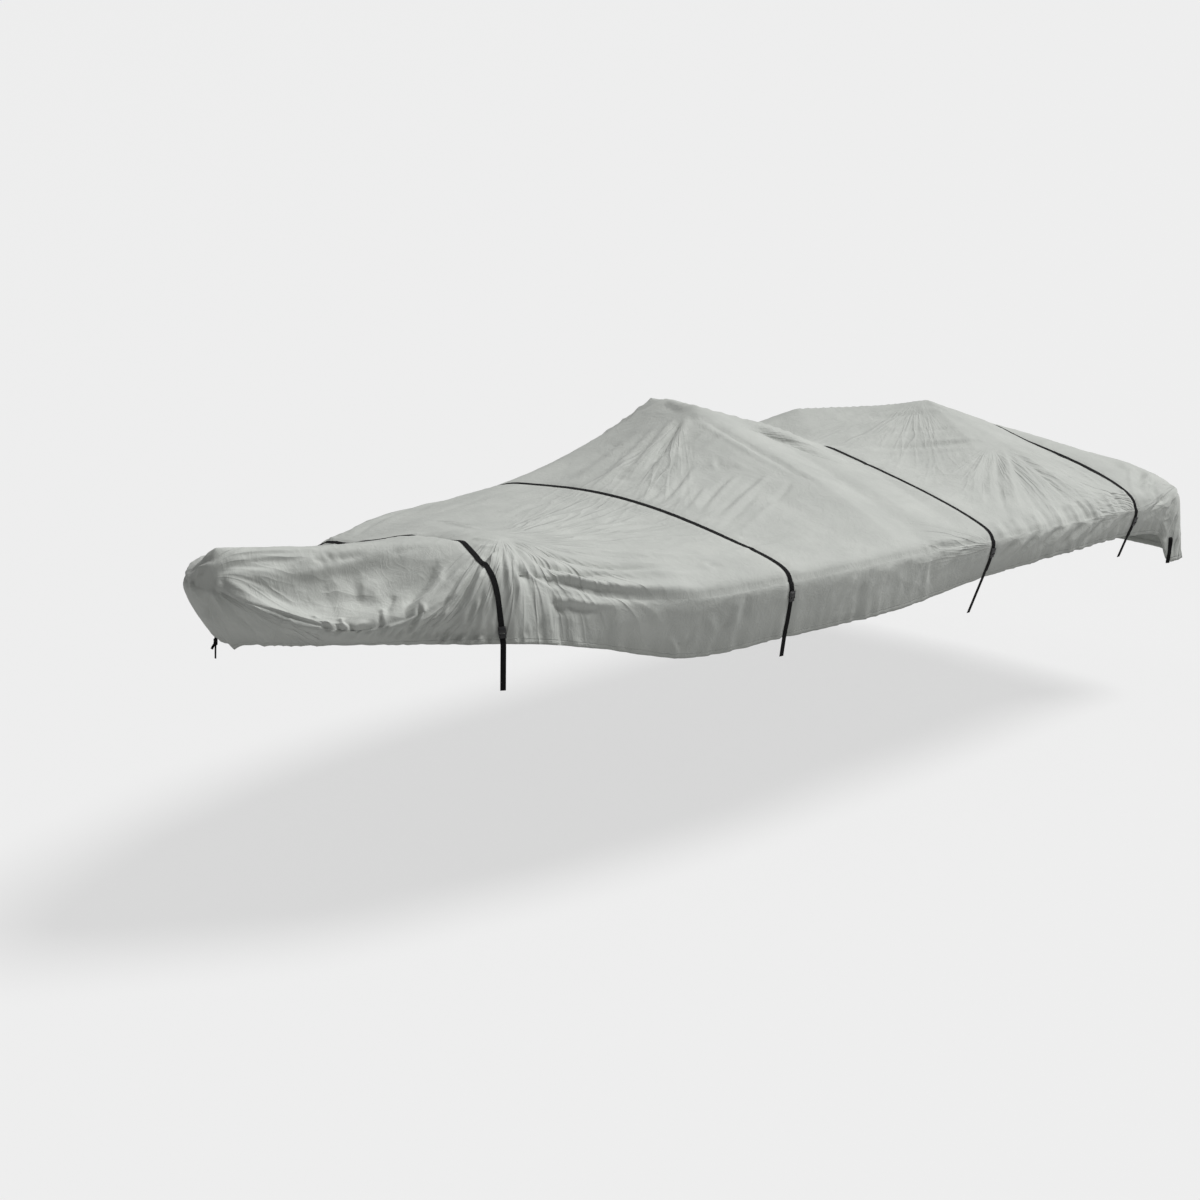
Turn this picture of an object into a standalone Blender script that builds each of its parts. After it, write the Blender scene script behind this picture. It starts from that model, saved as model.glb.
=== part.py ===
"""Boat cover: a fitted cloth shell with its tie-down straps, as it lies when it is in use.

Metres, +X from bow to stern, +Y to starboard, +Z up.  The origin is under the top of the
cloth, on its middle line, beside the highest point.  The cloth is one curved sheet: a top
that rises over a few crests, and a skirt that hangs from the side knuckle to the hem.
"""

import bpy
import numpy as np
from mathutils import Matrix, Vector

# ---------------------------------------------------------------- driving dimensions
GROUND_TO_ORIGIN = 1.663      # height of the origin above the ground that the heights start at

X_BOW = -3.388                # foremost point of the knuckle outline
X_FORE = -3.15                # station of the two bow corners
X_WIDE = -0.45                # station where the outline is widest
X_AFT = 2.529                 # station of the two stern corners
X_STERN = 2.613               # aftmost point of the knuckle outline
HALF_BEAM = 1.165
BOW_FULLNESS = 0.627          # 0.5 gives a round bow, 1 a pointed one
SHOULDER = (0.03, -0.3, 1.0)  # narrowing towards the bow: share, from x, over this length
TAPER = (0.055, 0.2, 2.3)     # narrowing towards the stern: share, from x, over this length
STERN_SQUARE = (60, 0.25)     # powers of the stern's outline; higher and lower are squarer
STERN_CROWN = 0.117           # how far the stern edge rises in its middle
CROWN_POWER = 0.6             # below 1 gives the top a flat middle with rounded edges
END_STEPS = 400               # steps in which the rounded ends of the outline are read
LEAST_HALF = 0.05             # half width that the slopes use where the outline closes
RIDGE_SOFT = 0.06             # width over which a crest's port power takes over
RIDGE_NEAR = 0.3              # and how far fore and aft of the crest it holds
BOW_BEND = 0.9                # length over which the bow's rounding dies out, going aft
STERN_BEND = 0.6              # the same for the stern, going forward
END_BLEND = 0.5               # length over which the crown dies out at either end
TUCK_POWER = 1.5              # the skirt leans in most near its hem
STERN_TUCK = 0.15             # how far ahead of the stern the flap's inward lean points

CLOTH_THICK = 0.0025

CELLS_LONG = 54               # cells of the sheet from the fore to the aft corner station
CELLS_WIDE = 22               # cells across the top
CELLS_SKIRT = 4               # cells from the knuckle to the hem

STRAP_WIDE = 0.025
STRAP_THICK = 0.0018
STRAP_GAP = 0.0007            # clearance between webbing and cloth
SKEW_REACH = 0.08             # share of the length over which the grid leans with a strap

BUCKLE_SIZE = (0.036, 0.050, 0.010)   # across the strap, along it, out from the cloth
BUCKLE_BEVEL = 0.001
BUCKLE_GAP = 0.0012           # clearance between a buckle's back and the cloth
LEAST_STEP = 1e-4             # webbing has no grid line closer than this to its ends
BUCKLE_ABOVE_HEM = 0.020      # least length of cloth left below a buckle
SKIRT_STEPS = 41              # steps in which lengths down the skirt are measured
SEAT_GAP = 0.0004             # clearance between a buckle and the webbing at its ends

CORNER_SLIDE = (0.14, 0.05)   # how far the skirt columns fan out below a bow or stern corner
CORNER_REACH = 0.55           # length of skirt over which that fan dies out
END_SLIDE = (0.31, 0.06)      # how far the columns of the bow and the flap fan inwards
END_FAN = 0.9                 # share of the half width that this fan takes
SKIRT_UNROLLED = 0.25         # skirt depth in the unrolled coordinates of the folds

# Stations along the sides; heights above the ground.
SIDE_COLUMNS = ("x", "port_knuckle", "starboard_knuckle", "hem", "crown", "tuck", "round_off")
SIDE = np.array([
    (-3.42, 1.514, 1.499, 1.196, 0.045, 0.167, 0.050),
    (-3.20, 1.402, 1.463, 1.199, 0.053, 0.135, 0.045),
    (-3.00, 1.318, 1.431, 1.202, 0.061, 0.102, 0.040),
    (-2.65, 1.375, 1.360, 1.193, 0.025, 0.038, 0.050),
    (-2.30, 1.530, 1.299, 1.173, -0.023, -0.049, 0.070),
    (-1.90, 1.350, 1.250, 1.078, 0.129, 0.031, 0.050),
    (-1.50, 1.262, 1.231, 0.969, 0.205, 0.037, 0.022),
    (-0.85, 1.242, 1.201, 0.957, 0.178, 0.046, 0.022),
    (-0.10, 1.223, 1.209, 0.950, 0.134, 0.030, 0.022),
    (0.63, 1.185, 1.179, 0.965, 0.110, 0.066, 0.022),
    (1.40, 1.151, 1.149, 0.971, 0.095, 0.031, 0.022),
    (2.05, 1.121, 1.113, 0.934, 0.127, 0.056, 0.025),
    (2.24, 1.121, 1.104, 0.908, 0.109, 0.040, 0.028),
    (2.28, 1.121, 1.102, 0.893, 0.105, 0.035, 0.030),
    (2.35, 1.122, 1.098, 0.750, 0.095, 0.010, 0.030),
    (2.42, 1.122, 1.094, 0.735, 0.077, -0.010, 0.030),
    (2.60, 1.114, 1.085, 0.742, 0.067, -0.032, 0.030),
])

# Crests that hold the cloth up.  Each is a line of (x, y, height above the ground), with
# how far its slope runs forward and aft, the power of that slope, and the share of the
# slope over which its top is rounded.
CRESTS = (
    dict(line=((0.183, 0.792, 1.691), (0.118, 0.601, 1.708)),
         fore=1.76, aft=1.16, power=1.58, port_power=1.25, rounded=0.0),
    dict(line=((0.030, 0.552, 1.733), (-0.064, 0.234, 1.755),
               (0.244, 0.150, 1.648), (0.614, -0.065, 1.490)),
         fore=1.30, aft=1.20, power=1.46, port_power=1.14, rounded=0.0),
    dict(line=((0.991, 0.450, 1.574), (1.582, 0.021, 1.580),
               (2.070, -0.102, 1.409), (2.447, -0.039, 1.240)),
         fore=1.10, aft=0.45, power=0.98, port_power=0.90, rounded=0.0),
    dict(line=((1.584, 0.000, 1.582), (1.367, -0.486, 1.424)),
         fore=1.22, aft=0.96, power=1.11, port_power=1.13, rounded=0.0),
    dict(line=((-3.262, -0.040, 1.613), (-2.869, -0.206, 1.571), (-2.254, -0.511, 1.562)),
         fore=0.21, aft=0.79, power=1.73, port_power=1.90, rounded=0.12),
)
CREST_BLEND = 10              # higher keeps crests apart where their slopes meet

# Main folds in unrolled coordinates: from (x0, q0) to (x1, q1), where q is the distance
# from the middle line over the cloth, port negative; rise is negative for a trough.
FOLD_START = 0.08             # a fold already has this much of its rise where it starts
FOLD_SPREAD = (0.55, 0.75)    # width factor where a fold starts, and its growth along it
FOLD_COLUMNS = ("x0", "q0", "x1", "q1", "rise", "width")
FOLDS = (
    (-3.32, -0.12, -2.70, -0.74, 0.022, 0.060),
    (-3.25, -0.10, -2.50, -0.58, -0.024, 0.070),
    (-3.36, -0.02, -3.18, -0.48, 0.014, 0.050),
    (-3.36, 0.06, -2.95, 0.16, -0.030, 0.050),
    (-2.15, -0.55, -2.52, -0.90, 0.018, 0.050),
    (-2.15, -0.58, -2.38, -0.94, -0.016, 0.045),
    (-2.12, -0.50, -1.86, -0.96, 0.022, 0.070),
    (-2.08, -0.62, -1.20, -0.90, -0.020, 0.075),
    (-2.05, -0.78, -1.50, -0.97, 0.016, 0.055),
    (-2.12, -0.80, -1.68, -1.10, -0.018, 0.055),
    (-0.16, 0.25, -1.15, 0.12, 0.014, 0.060),
    (-0.16, 0.24, -1.20, -0.12, -0.012, 0.060),
    (-0.16, 0.23, -1.10, -0.34, 0.014, 0.060),
    (-0.15, 0.22, -0.95, -0.62, -0.010, 0.060),
    (-0.08, 0.20, 0.08, -0.74, -0.014, 0.055),
    (0.05, 0.10, 0.56, -0.68, -0.026, 0.060),
    (0.14, 0.12, 0.64, -0.55, 0.020, 0.050),
    (1.40, -0.48, 0.82, -0.05, -0.018, 0.055),
    (1.45, -0.52, 1.05, -1.00, 0.012, 0.060),
    (1.47, -0.52, 1.62, -1.04, -0.012, 0.060),
    (1.75, -0.70, 1.95, -1.20, 0.012, 0.050),
    (2.30, -0.75, 2.20, -1.30, 0.010, 0.060),
    (-0.05, 0.70, -0.90, 0.95, -0.014, 0.070),
    (0.20, 0.80, 0.55, 1.15, 0.012, 0.060),
    (-2.10, 0.30, -1.70, 1.00, -0.012, 0.080),
)

# Straps over the top: station on the middle line, how far the starboard end lies aft of
# that, drop fractions at which the buckle starts, and the free tail's end.
STRAPS = {
    "bow": dict(x=-2.208, skew=0.175, buckle_at=0.75, tail=(0.205, 0.005), free_end=0.0),
    "fore": dict(x=-0.947, skew=-0.068, buckle_at=0.18, tail=(0.095, 0.015), free_end=0.0),
    "mid": dict(x=0.630, skew=0.002, buckle_at=0.22, tail=(0.20, 0.08), free_end=0.085),
    "stern": dict(x=2.000, skew=0.016, buckle_at=0.32, tail=(0.125, 0.05), free_end=0.075),
}

BOW_TIE_AT = (-3.190, 0.104)  # plan position of the short strap at the bow hem
BOW_TIE_INSIDE = 0.0094       # how far behind the hem's outer face it hangs
BOW_TIE_SWING = 0.06          # how far it swings forward for each metre down
# down the strap: drop below the hem, width, thickness
BOW_TIE_SECTIONS = (
    (-0.030, 0.020, 0.002),
    (0.000, 0.020, 0.002),
    (0.010, 0.014, 0.003),
    (0.016, 0.024, 0.012),
    (0.048, 0.026, 0.013),
    (0.056, 0.014, 0.005),
    (0.105, 0.012, 0.003),
)

STERN_TAB_AT = 2.405          # station of the short tabs on the flap's forward edges
STERN_TAB_DROP = 0.66         # share of the skirt at which a tab starts
STERN_TAB_HANG = 0.012        # how far it reaches below the hem
STERN_TAB_GAP = {"port": 0.0008, "starboard": 0.0013}   # clearance over the bent cloth

CLOTH_COLOUR = (0.56, 0.58, 0.54, 1.0)
WEBBING_COLOUR = (0.012, 0.012, 0.013, 1.0)
PLASTIC_COLOUR = (0.016, 0.016, 0.018, 1.0)


# ---------------------------------------------------------------- helpers
def clear_scene():
    for obj in list(bpy.data.objects):
        bpy.data.objects.remove(obj, do_unlink=True)


def make_material(name, colour, roughness):
    mat = bpy.data.materials.new(name)
    mat.use_nodes = True
    shader = mat.node_tree.nodes["Principled BSDF"]
    shader.inputs["Base Color"].default_value = colour
    shader.inputs["Roughness"].default_value = roughness
    shader.inputs["Metallic"].default_value = 0.0
    return mat


def ease(t):
    """Smooth step: 0 below 0, 1 above 1, with level ends."""
    t = np.clip(t, 0.0, 1.0)
    return t * t * (3.0 - 2.0 * t)


def side_value(x, column):
    """Value of one column of SIDE at x: a cubic through the stations, level beyond them."""
    xs = SIDE[:, 0]
    ys = SIDE[:, SIDE_COLUMNS.index(column)]
    slope = np.gradient(ys, xs)
    x = np.clip(x, xs[0], xs[-1])
    i = np.clip(np.searchsorted(xs, x) - 1, 0, len(xs) - 2)
    step = xs[i + 1] - xs[i]
    s = (x - xs[i]) / step
    start = (2 * s**3 - 3 * s**2 + 1) * ys[i] + (s**3 - 2 * s**2 + s) * step * slope[i]
    end = (3 * s**2 - 2 * s**3) * ys[i + 1] + (s**3 - s**2) * step * slope[i + 1]
    return start + end


# ---------------------------------------------------------------- the sheet's form
def half_breadth(x):
    """Half the width of the knuckle outline: a blunt bow, a slight taper, square corners aft."""
    nose = np.clip((X_WIDE - x) / (X_WIDE - X_BOW), 0.0, 1.0)
    tail = np.clip((x - X_WIDE) / (X_STERN - X_WIDE), 0.0, 1.0)
    share, start, length = TAPER
    taper = 1.0 - share * np.clip((x - start) / length, 0.0, 1.0) ** 2
    share, start, length = SHOULDER
    shoulder = 1.0 - share * np.clip((start - x) / length, 0.0, 1.0)
    bow = (1.0 - nose**2) ** BOW_FULLNESS
    stern = (1.0 - tail**STERN_SQUARE[0]) ** STERN_SQUARE[1]
    return HALF_BEAM * taper * shoulder * bow * stern


def end_station(y, at_bow):
    """x of the outline's rounded end at a half width y: the half breadth read backwards."""
    first, last = (X_BOW, X_FORE) if at_bow else (X_STERN, X_AFT)
    stations = np.linspace(first, last, END_STEPS)
    return np.interp(np.abs(y), half_breadth(stations), stations)


def knuckle_height(x, across, near_stern):
    """Port and starboard knuckle heights blended across, and the crown of the stern edge."""
    side = ease((across + 1.0) / 2.0)
    height = side_value(x, "port_knuckle") * (1.0 - side) + side_value(x, "starboard_knuckle") * side
    return height + STERN_CROWN * (1.0 - across**2) * near_stern


def crest_height(x, y, base, crest):
    """Lift over the base that one crest gives: full on its line, falling to the outline."""
    half = np.maximum(half_breadth(x), LEAST_HALF)
    line = np.array(crest["line"])
    lift = np.zeros_like(base)
    for start, end in zip(line[:-1], line[1:]):
        run = (end - start)[:2]
        s = np.clip(((x - start[0]) * run[0] + (y - start[1]) * run[1]) / (run @ run), 0.0, 1.0)
        cx, cy, cz = (start[k] + s * (end[k] - start[k]) for k in range(3))
        reach_y = np.maximum(np.where(y < cy, cy + half, half - cy), LEAST_HALF)
        reach_x = np.where(x < cx, crest["fore"], crest["aft"])
        away = np.hypot(np.hypot((x - cx) / reach_x, (y - cy) / reach_y), crest["rounded"])
        away = (away - crest["rounded"]) / (np.hypot(1.0, crest["rounded"]) - crest["rounded"])
        to_port = ease((cy - y) / RIDGE_SOFT) * np.clip(1.0 - np.abs(x - cx) / RIDGE_NEAR, 0.0, 1.0)
        power = crest["power"] * (1.0 - to_port) + crest["port_power"] * to_port
        lift = np.maximum(lift, (cz - base) * np.clip(1.0 - away, 0.0, 1.0) ** power)
    return lift


def top_height(x, y, across, near_bow, near_stern):
    """Height of the top: knuckle, crown, and the largest crest with a soft change between."""
    inside = (1.0 - across**2) * (1.0 - near_bow**2) * (1.0 - near_stern**2)
    base = knuckle_height(x, across, near_stern)
    base = base + side_value(x, "crown") * np.maximum(inside, 0.0) ** CROWN_POWER
    lifts = sum(crest_height(x, y, base, crest) ** CREST_BLEND for crest in CRESTS)
    return base + lifts ** (1.0 / CREST_BLEND)


def fold_relief(x, q):
    """Sum of the folds: each a soft ridge or trough that rises and dies along its line."""
    relief = np.zeros_like(x)
    for row in FOLDS:
        x0, q0, x1, q1, rise, width = (row[FOLD_COLUMNS.index(name)] for name in FOLD_COLUMNS)
        dx, dq = x1 - x0, q1 - q0
        length = np.hypot(dx, dq)
        t = ((x - x0) * dx + (q - q0) * dq) / length**2
        aside = ((x - x0) * dq - (q - q0) * dx) / length
        spread = width * (FOLD_SPREAD[0] + FOLD_SPREAD[1] * np.clip(t, 0.0, 1.0))
        along = np.sin(np.pi * np.clip(FOLD_START + (1.0 - FOLD_START) * t, 0.0, 1.0)) ** CROWN_POWER
        relief += rise * along * np.exp(-(aside / spread) ** 2)
    return relief


def sheet_frame(along, across):
    """Smooth sheet at (along, across), before its folds.

    along runs -1..0 down the bow skirt, 0..1 over the top and 1..2 down the stern flap;
    across runs -2..-1 up the port skirt, -1..1 over the top and 1..2 down to starboard.
    Returns the points and the unrolled coordinates that the folds are given in.
    """
    fore_drop = np.maximum(-along, 0.0)
    aft_drop = np.maximum(along - 1.0, 0.0)
    side_drop = np.maximum(np.abs(across) - 1.0, 0.0)
    end_drop = fore_drop + aft_drop
    drop = np.maximum(end_drop, side_drop)

    station = X_FORE + np.clip(along, 0.0, 1.0) * (X_AFT - X_FORE)
    fan = CORNER_SLIDE[0] * ease(1.0 - (station - X_FORE) / CORNER_REACH)
    fan = fan - CORNER_SLIDE[1] * ease(1.0 - (X_AFT - station) / CORNER_REACH)
    station = station + np.maximum(side_drop - end_drop, 0.0) * fan
    share = np.clip(across, -1.0, 1.0)
    fan = ease(1.0 - (1.0 - np.abs(share)) / END_FAN) * np.where(aft_drop > 0.0, END_SLIDE[1], END_SLIDE[0])
    share = share - np.sign(share) * np.maximum(end_drop - side_drop, 0.0) * fan

    half = half_breadth(station)
    y = share * half
    bow_shift = end_station(share * half_breadth(X_FORE), True) - X_FORE
    stern_shift = end_station(share * half_breadth(X_AFT), False) - X_AFT
    x = station + bow_shift * ease(1.0 - (station - X_FORE) / BOW_BEND)
    x = x + stern_shift * ease(1.0 - (X_AFT - station) / STERN_BEND)

    near_bow = ease(1.0 - (station - X_FORE) / END_BLEND)
    near_stern = ease(1.0 - (X_AFT - station) / END_BLEND)
    knuckle = knuckle_height(x, share, near_stern)
    depth = knuckle - side_value(x, "hem")
    z = np.where(drop > 0.0, knuckle - drop * depth, top_height(x, y, share, near_bow, near_stern))

    inward_x = np.clip(x, X_FORE + BOW_BEND, X_AFT - STERN_TUCK) - x
    inward = np.hypot(inward_x, y) + 1e-9
    from_edge = np.minimum((1.0 - np.abs(share)) * half, np.minimum(station - X_FORE, X_AFT - station))
    from_edge = np.where(drop > 0.0, drop * depth, from_edge)
    radius = side_value(x, "round_off")
    rounding = radius * np.log1p(np.exp(-np.abs(from_edge) / radius))
    shift = side_value(x, "tuck") * drop**TUCK_POWER + rounding
    unrolled_x = x + (aft_drop - fore_drop) * SKIRT_UNROLLED
    unrolled_q = y + np.sign(across) * side_drop * SKIRT_UNROLLED
    points = np.stack((x + inward_x / inward * shift, y - y / inward * shift,
                       z - rounding - GROUND_TO_ORIGIN), axis=-1)
    return points, unrolled_x, unrolled_q


def grid_normals(points):
    """Outward unit normals of a grid of points, from the differences along its two ways."""
    normal = np.cross(np.gradient(points, axis=0), np.gradient(points, axis=1))
    return normal / np.linalg.norm(normal, axis=-1, keepdims=True)


def cloth_surface(along, across):
    """Outer face of the cloth, with its folds, and its normals."""
    smooth, x, q = sheet_frame(along, across)
    points = smooth + grid_normals(smooth) * fold_relief(x, q)[..., None]
    return points, grid_normals(points)


# ---------------------------------------------------------------- the grid
def share_of(x):
    """Place of a station as a share of the length between the corner stations."""
    return (x - X_FORE) / (X_AFT - X_FORE)


def grid_lines():
    """Lines of the grid: even steps, with a pair of lines at the edges of each webbing."""
    middles = [strap["x"] for strap in STRAPS.values()] + [STERN_TAB_AT]
    edges = [share_of(x + side * STRAP_WIDE / 2) for x in middles for side in (-1, 1)]
    clear = 0.5 / CELLS_LONG
    even = [a for a in np.linspace(0.0, 1.0, CELLS_LONG + 1) if min(abs(a - e) for e in edges) > clear]
    skirt = np.linspace(0.0, 1.0, CELLS_SKIRT + 1)[1:]
    along = np.concatenate((-skirt[::-1], np.sort(even + edges), 1.0 + skirt))
    across = np.concatenate((-1.0 - skirt[::-1], np.linspace(-1.0, 1.0, CELLS_WIDE + 1), 1.0 + skirt))
    return along, across


def skewed(along, across):
    """Grid of the lines, leaning with the skew of each strap close to it."""
    a, c = np.meshgrid(along, across, indexing="ij")
    lean = np.zeros_like(a)
    for strap in STRAPS.values():
        middle = share_of(strap["x"])
        lean += strap["skew"] / (X_AFT - X_FORE) * np.exp(-(((a - middle) / SKEW_REACH) ** 4))
    return a + lean * np.clip(c, -1.0, 1.0), c


# ---------------------------------------------------------------- meshes
def add_object(name, verts, faces, material):
    mesh = bpy.data.meshes.new(name)
    mesh.from_pydata([tuple(v) for v in verts], [], [tuple(f) for f in faces])
    mesh.validate()
    mesh.materials.append(material)
    obj = bpy.data.objects.new(name, mesh)
    bpy.context.scene.collection.objects.link(obj)
    return obj


def slab_faces(rows, cols):
    """Triangles of a closed slab whose outer and inner faces are grids with one diagonal."""
    index = np.arange(rows * cols).reshape(rows, cols)
    a, b = index[:-1, :-1].ravel(), index[1:, :-1].ravel()
    c, d = index[1:, 1:].ravel(), index[:-1, 1:].ravel()
    outer = np.concatenate((np.stack((a, b, c), 1), np.stack((a, c, d), 1)))
    inner = outer[:, ::-1] + rows * cols
    rim = np.concatenate((index[:, 0], index[-1, 1:], index[-2::-1, -1], index[0, -2:0:-1]))
    follow = np.roll(rim, -1)
    under = rows * cols
    wall = np.concatenate((np.stack((rim, rim + under, follow + under), 1),
                           np.stack((rim, follow + under, follow), 1)))
    return np.concatenate((outer, inner, wall))


def add_slab(name, outer, inner, material):
    """Closed solid between two grids of points."""
    rows, cols = outer.shape[:2]
    verts = np.concatenate((outer.reshape(-1, 3), inner.reshape(-1, 3)))
    return add_object(name, verts, slab_faces(rows, cols), material)


def add_cloth(points, normals, material):
    return add_slab("cover_cloth", points, points - normals * CLOTH_THICK, material)


class WebbingColumn:
    """The column of the cloth's grid that one piece of webbing lies on."""

    def __init__(self, x, along, across, points, normals):
        first = int(np.argmin(np.abs(along - share_of(x - STRAP_WIDE / 2))))
        self.across = across
        self.points = points[first:first + 2]
        self.normals = normals[first:first + 2]

    def rows(self, start, end):
        """Places across the cloth on both edges: the two ends and each grid line between."""
        ends = sorted((np.broadcast_to(start, 2), np.broadcast_to(end, 2)), key=np.sum)
        between = (self.across > ends[0].max() + LEAST_STEP) & (self.across < ends[1].min() - LEAST_STEP)
        inner = self.across[between]
        return np.stack([np.concatenate(([ends[0][i]], inner, [ends[1][i]])) for i in range(2)])

    def at(self, places, grid):
        """Values of a grid of vectors at places on each edge, on the flat cells."""
        return np.stack([np.stack([np.interp(places[i], self.across, grid[i, :, k]) for k in range(3)], -1)
                         for i in range(2)])

    def face(self, places, height):
        return self.at(places, self.points) + self.at(places, self.normals) * height

    def skirt(self, side):
        """Places down the skirt of one side, both edges there, and the length down to each."""
        places = side * np.linspace(1.0, 2.0, SKIRT_STEPS)
        edges = self.at(np.stack((places, places)), self.points)
        steps = np.linalg.norm(np.diff(edges.mean(axis=0), axis=0), axis=1)
        return places, edges, np.concatenate(([0.0], np.cumsum(steps)))

    def down_to(self, side, length):
        """Places on both edges, square to the webbing, at a length below the knuckle."""
        places, edges, lengths = self.skirt(side)
        middle = edges.mean(axis=0)
        here, above, below = (np.array([np.interp(length + step, lengths, middle[:, k]) for k in range(3)])
                              for step in (0.0, -BUCKLE_SIZE[1] / 2, BUCKLE_SIZE[1] / 2))
        return np.array([np.interp(0.0, (edge - here) @ (below - above), places) for edge in edges])


def add_ribbon(name, column, start, end, height, material, beyond=()):
    """Webbing on the cloth from start to end, then through further points beyond the hem."""
    rows = column.rows(start, end)
    lower = column.face(rows, height)
    upper = column.face(rows, height + STRAP_THICK)
    if beyond and np.mean(end) < np.mean(start):
        lower = np.concatenate([lower[:, :1] + step for step in beyond[::-1]] + [lower], axis=1)
        upper = np.concatenate([upper[:, :1] + step for step in beyond[::-1]] + [upper], axis=1)
    elif beyond:
        lower = np.concatenate([lower] + [lower[:, -1:] + step for step in beyond], axis=1)
        upper = np.concatenate([upper] + [upper[:, -1:] + step for step in beyond], axis=1)
    return add_slab(name, upper, lower, material)


def add_buckle(name, column, side, middle, material):
    """Rounded block on the webbing's line, at a length below the knuckle, clear of the cloth."""
    across, along, out = BUCKLE_SIZE
    places = [column.down_to(side, middle + step) for step in (-along / 2, 0.0, along / 2)]
    edges = column.face(np.array(places).T, 0.0)
    above, centre, below = (Vector(p) for p in edges.mean(axis=0))
    down = (below - above).normalized()
    aft = Vector(edges[1, 1] - edges[0, 1])
    aft = (aft - aft.project(down)).normalized()
    outward = aft.cross(down) * side
    highest = max((above, centre, below), key=outward.dot)
    chord = (above + below) / 2
    clear = (highest - chord).dot(outward) + BUCKLE_GAP + out / 2
    centre = chord + outward * clear

    bpy.ops.mesh.primitive_cube_add(size=1.0)
    obj = bpy.context.active_object
    obj.name = name
    obj.data.name = name
    obj.data.transform(Matrix.Diagonal((across, along, out, 1.0)))
    obj.data.materials.append(material)
    bevel = obj.modifiers.new("rounded_edges", "BEVEL")
    bevel.width = BUCKLE_BEVEL
    bevel.segments = 2
    turn = Matrix((aft, outward.cross(aft), outward)).transposed()
    obj.matrix_world = Matrix.Translation(centre) @ turn.to_4x4()
    return obj


def add_strap_set(name, strap, column, webbing, plastic):
    """One strap with its two buckles, tails and free ends."""
    ends = {}
    half_block = BUCKLE_SIZE[1] / 2
    for side, label in ((-1, "port"), (1, "starboard")):
        depth = column.skirt(side)[2][-1]
        lowest = depth - BUCKLE_ABOVE_HEM - half_block
        middle = min(strap["buckle_at"] * depth + half_block, lowest)
        ends[side] = column.down_to(side, middle - half_block - SEAT_GAP)
        add_buckle(f"buckle_{name}_{label}", column, side, middle, plastic)

        fall, inward = strap["tail"]
        steps = [np.array((0.0, -side * inward * s, -fall * s)) for s in (0.5, 1.0)]
        below = middle + half_block + SEAT_GAP
        start = column.down_to(side, below)
        add_ribbon(f"tail_{name}_{label}", column, start, side * 2.0, STRAP_GAP, webbing, steps)
        if strap["free_end"]:
            end = column.down_to(side, below + strap["free_end"])
            lifted = STRAP_GAP * 2 + STRAP_THICK
            add_ribbon(f"free_end_{name}_{label}", column, start, end, lifted, webbing)
    add_ribbon(f"strap_{name}", column, ends[-1], ends[1], STRAP_GAP, webbing)


def add_stern_tabs(column, webbing):
    """A short tab of webbing on each forward edge of the stern flap."""
    for side, label in ((-1, "port"), (1, "starboard")):
        start = side * (1.0 + STERN_TAB_DROP)
        hang = [np.array((0.0, 0.0, -STERN_TAB_HANG))]
        add_ribbon(f"stern_tab_{label}", column, start, side * 2.0, STERN_TAB_GAP[label], webbing, hang)


def add_bow_tie(points, material):
    """Short strap from the bow hem: flat, then its knot, then a thin end; one lofted solid."""
    hem = points[0]
    nearest = int(np.argmin(np.hypot(hem[:, 0] - BOW_TIE_AT[0], hem[:, 1] - BOW_TIE_AT[1])))
    foot = hem[nearest]
    inner = Vector((1.0, 0.0, 0.0))
    start = Vector(foot) + inner * BOW_TIE_INSIDE
    verts = []
    for drop, wide, thick in BOW_TIE_SECTIONS:
        middle = start - Vector((0.0, 0.0, drop)) - inner * max(drop, 0.0) * BOW_TIE_SWING
        for side_y, side_x in ((-1, -1), (1, -1), (1, 1), (-1, 1)):
            verts.append(middle + Vector((side_x * thick / 2, side_y * wide / 2, 0.0)))
    count = len(BOW_TIE_SECTIONS)
    faces = [(3, 2, 1, 0), tuple(4 * (count - 1) + k for k in range(4))]
    for ring in range(count - 1):
        for k in range(4):
            a, b = 4 * ring + k, 4 * ring + (k + 1) % 4
            faces.append((a, b, b + 4, a + 4))
    return add_object("bow_tie", verts, faces, material)


def build():
    clear_scene()
    cloth = make_material("cloth", CLOTH_COLOUR, 0.85)
    webbing = make_material("webbing", WEBBING_COLOUR, 0.7)
    plastic = make_material("plastic", PLASTIC_COLOUR, 0.35)

    along, across = grid_lines()
    points, normals = cloth_surface(*skewed(along, across))
    add_cloth(points, normals, cloth)
    for name, strap in STRAPS.items():
        column = WebbingColumn(strap["x"], along, across, points, normals)
        add_strap_set(name, strap, column, webbing, plastic)
    add_stern_tabs(WebbingColumn(STERN_TAB_AT, along, across, points, normals), webbing)
    add_bow_tie(points, webbing)


build()
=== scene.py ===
"""Dressed model of the fitted cloth cover: its sheet with folds and hem, its webbing and buckles.

Metres, +X from bow to stern, +Y to starboard, +Z up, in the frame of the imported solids.  The
sheet is one surface of two parameters, with its folds and creases laid over it in unrolled
coordinates (x, q), where q is the distance from the middle line over the cloth, port negative.
Everything else is placed on that surface.
"""

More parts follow.
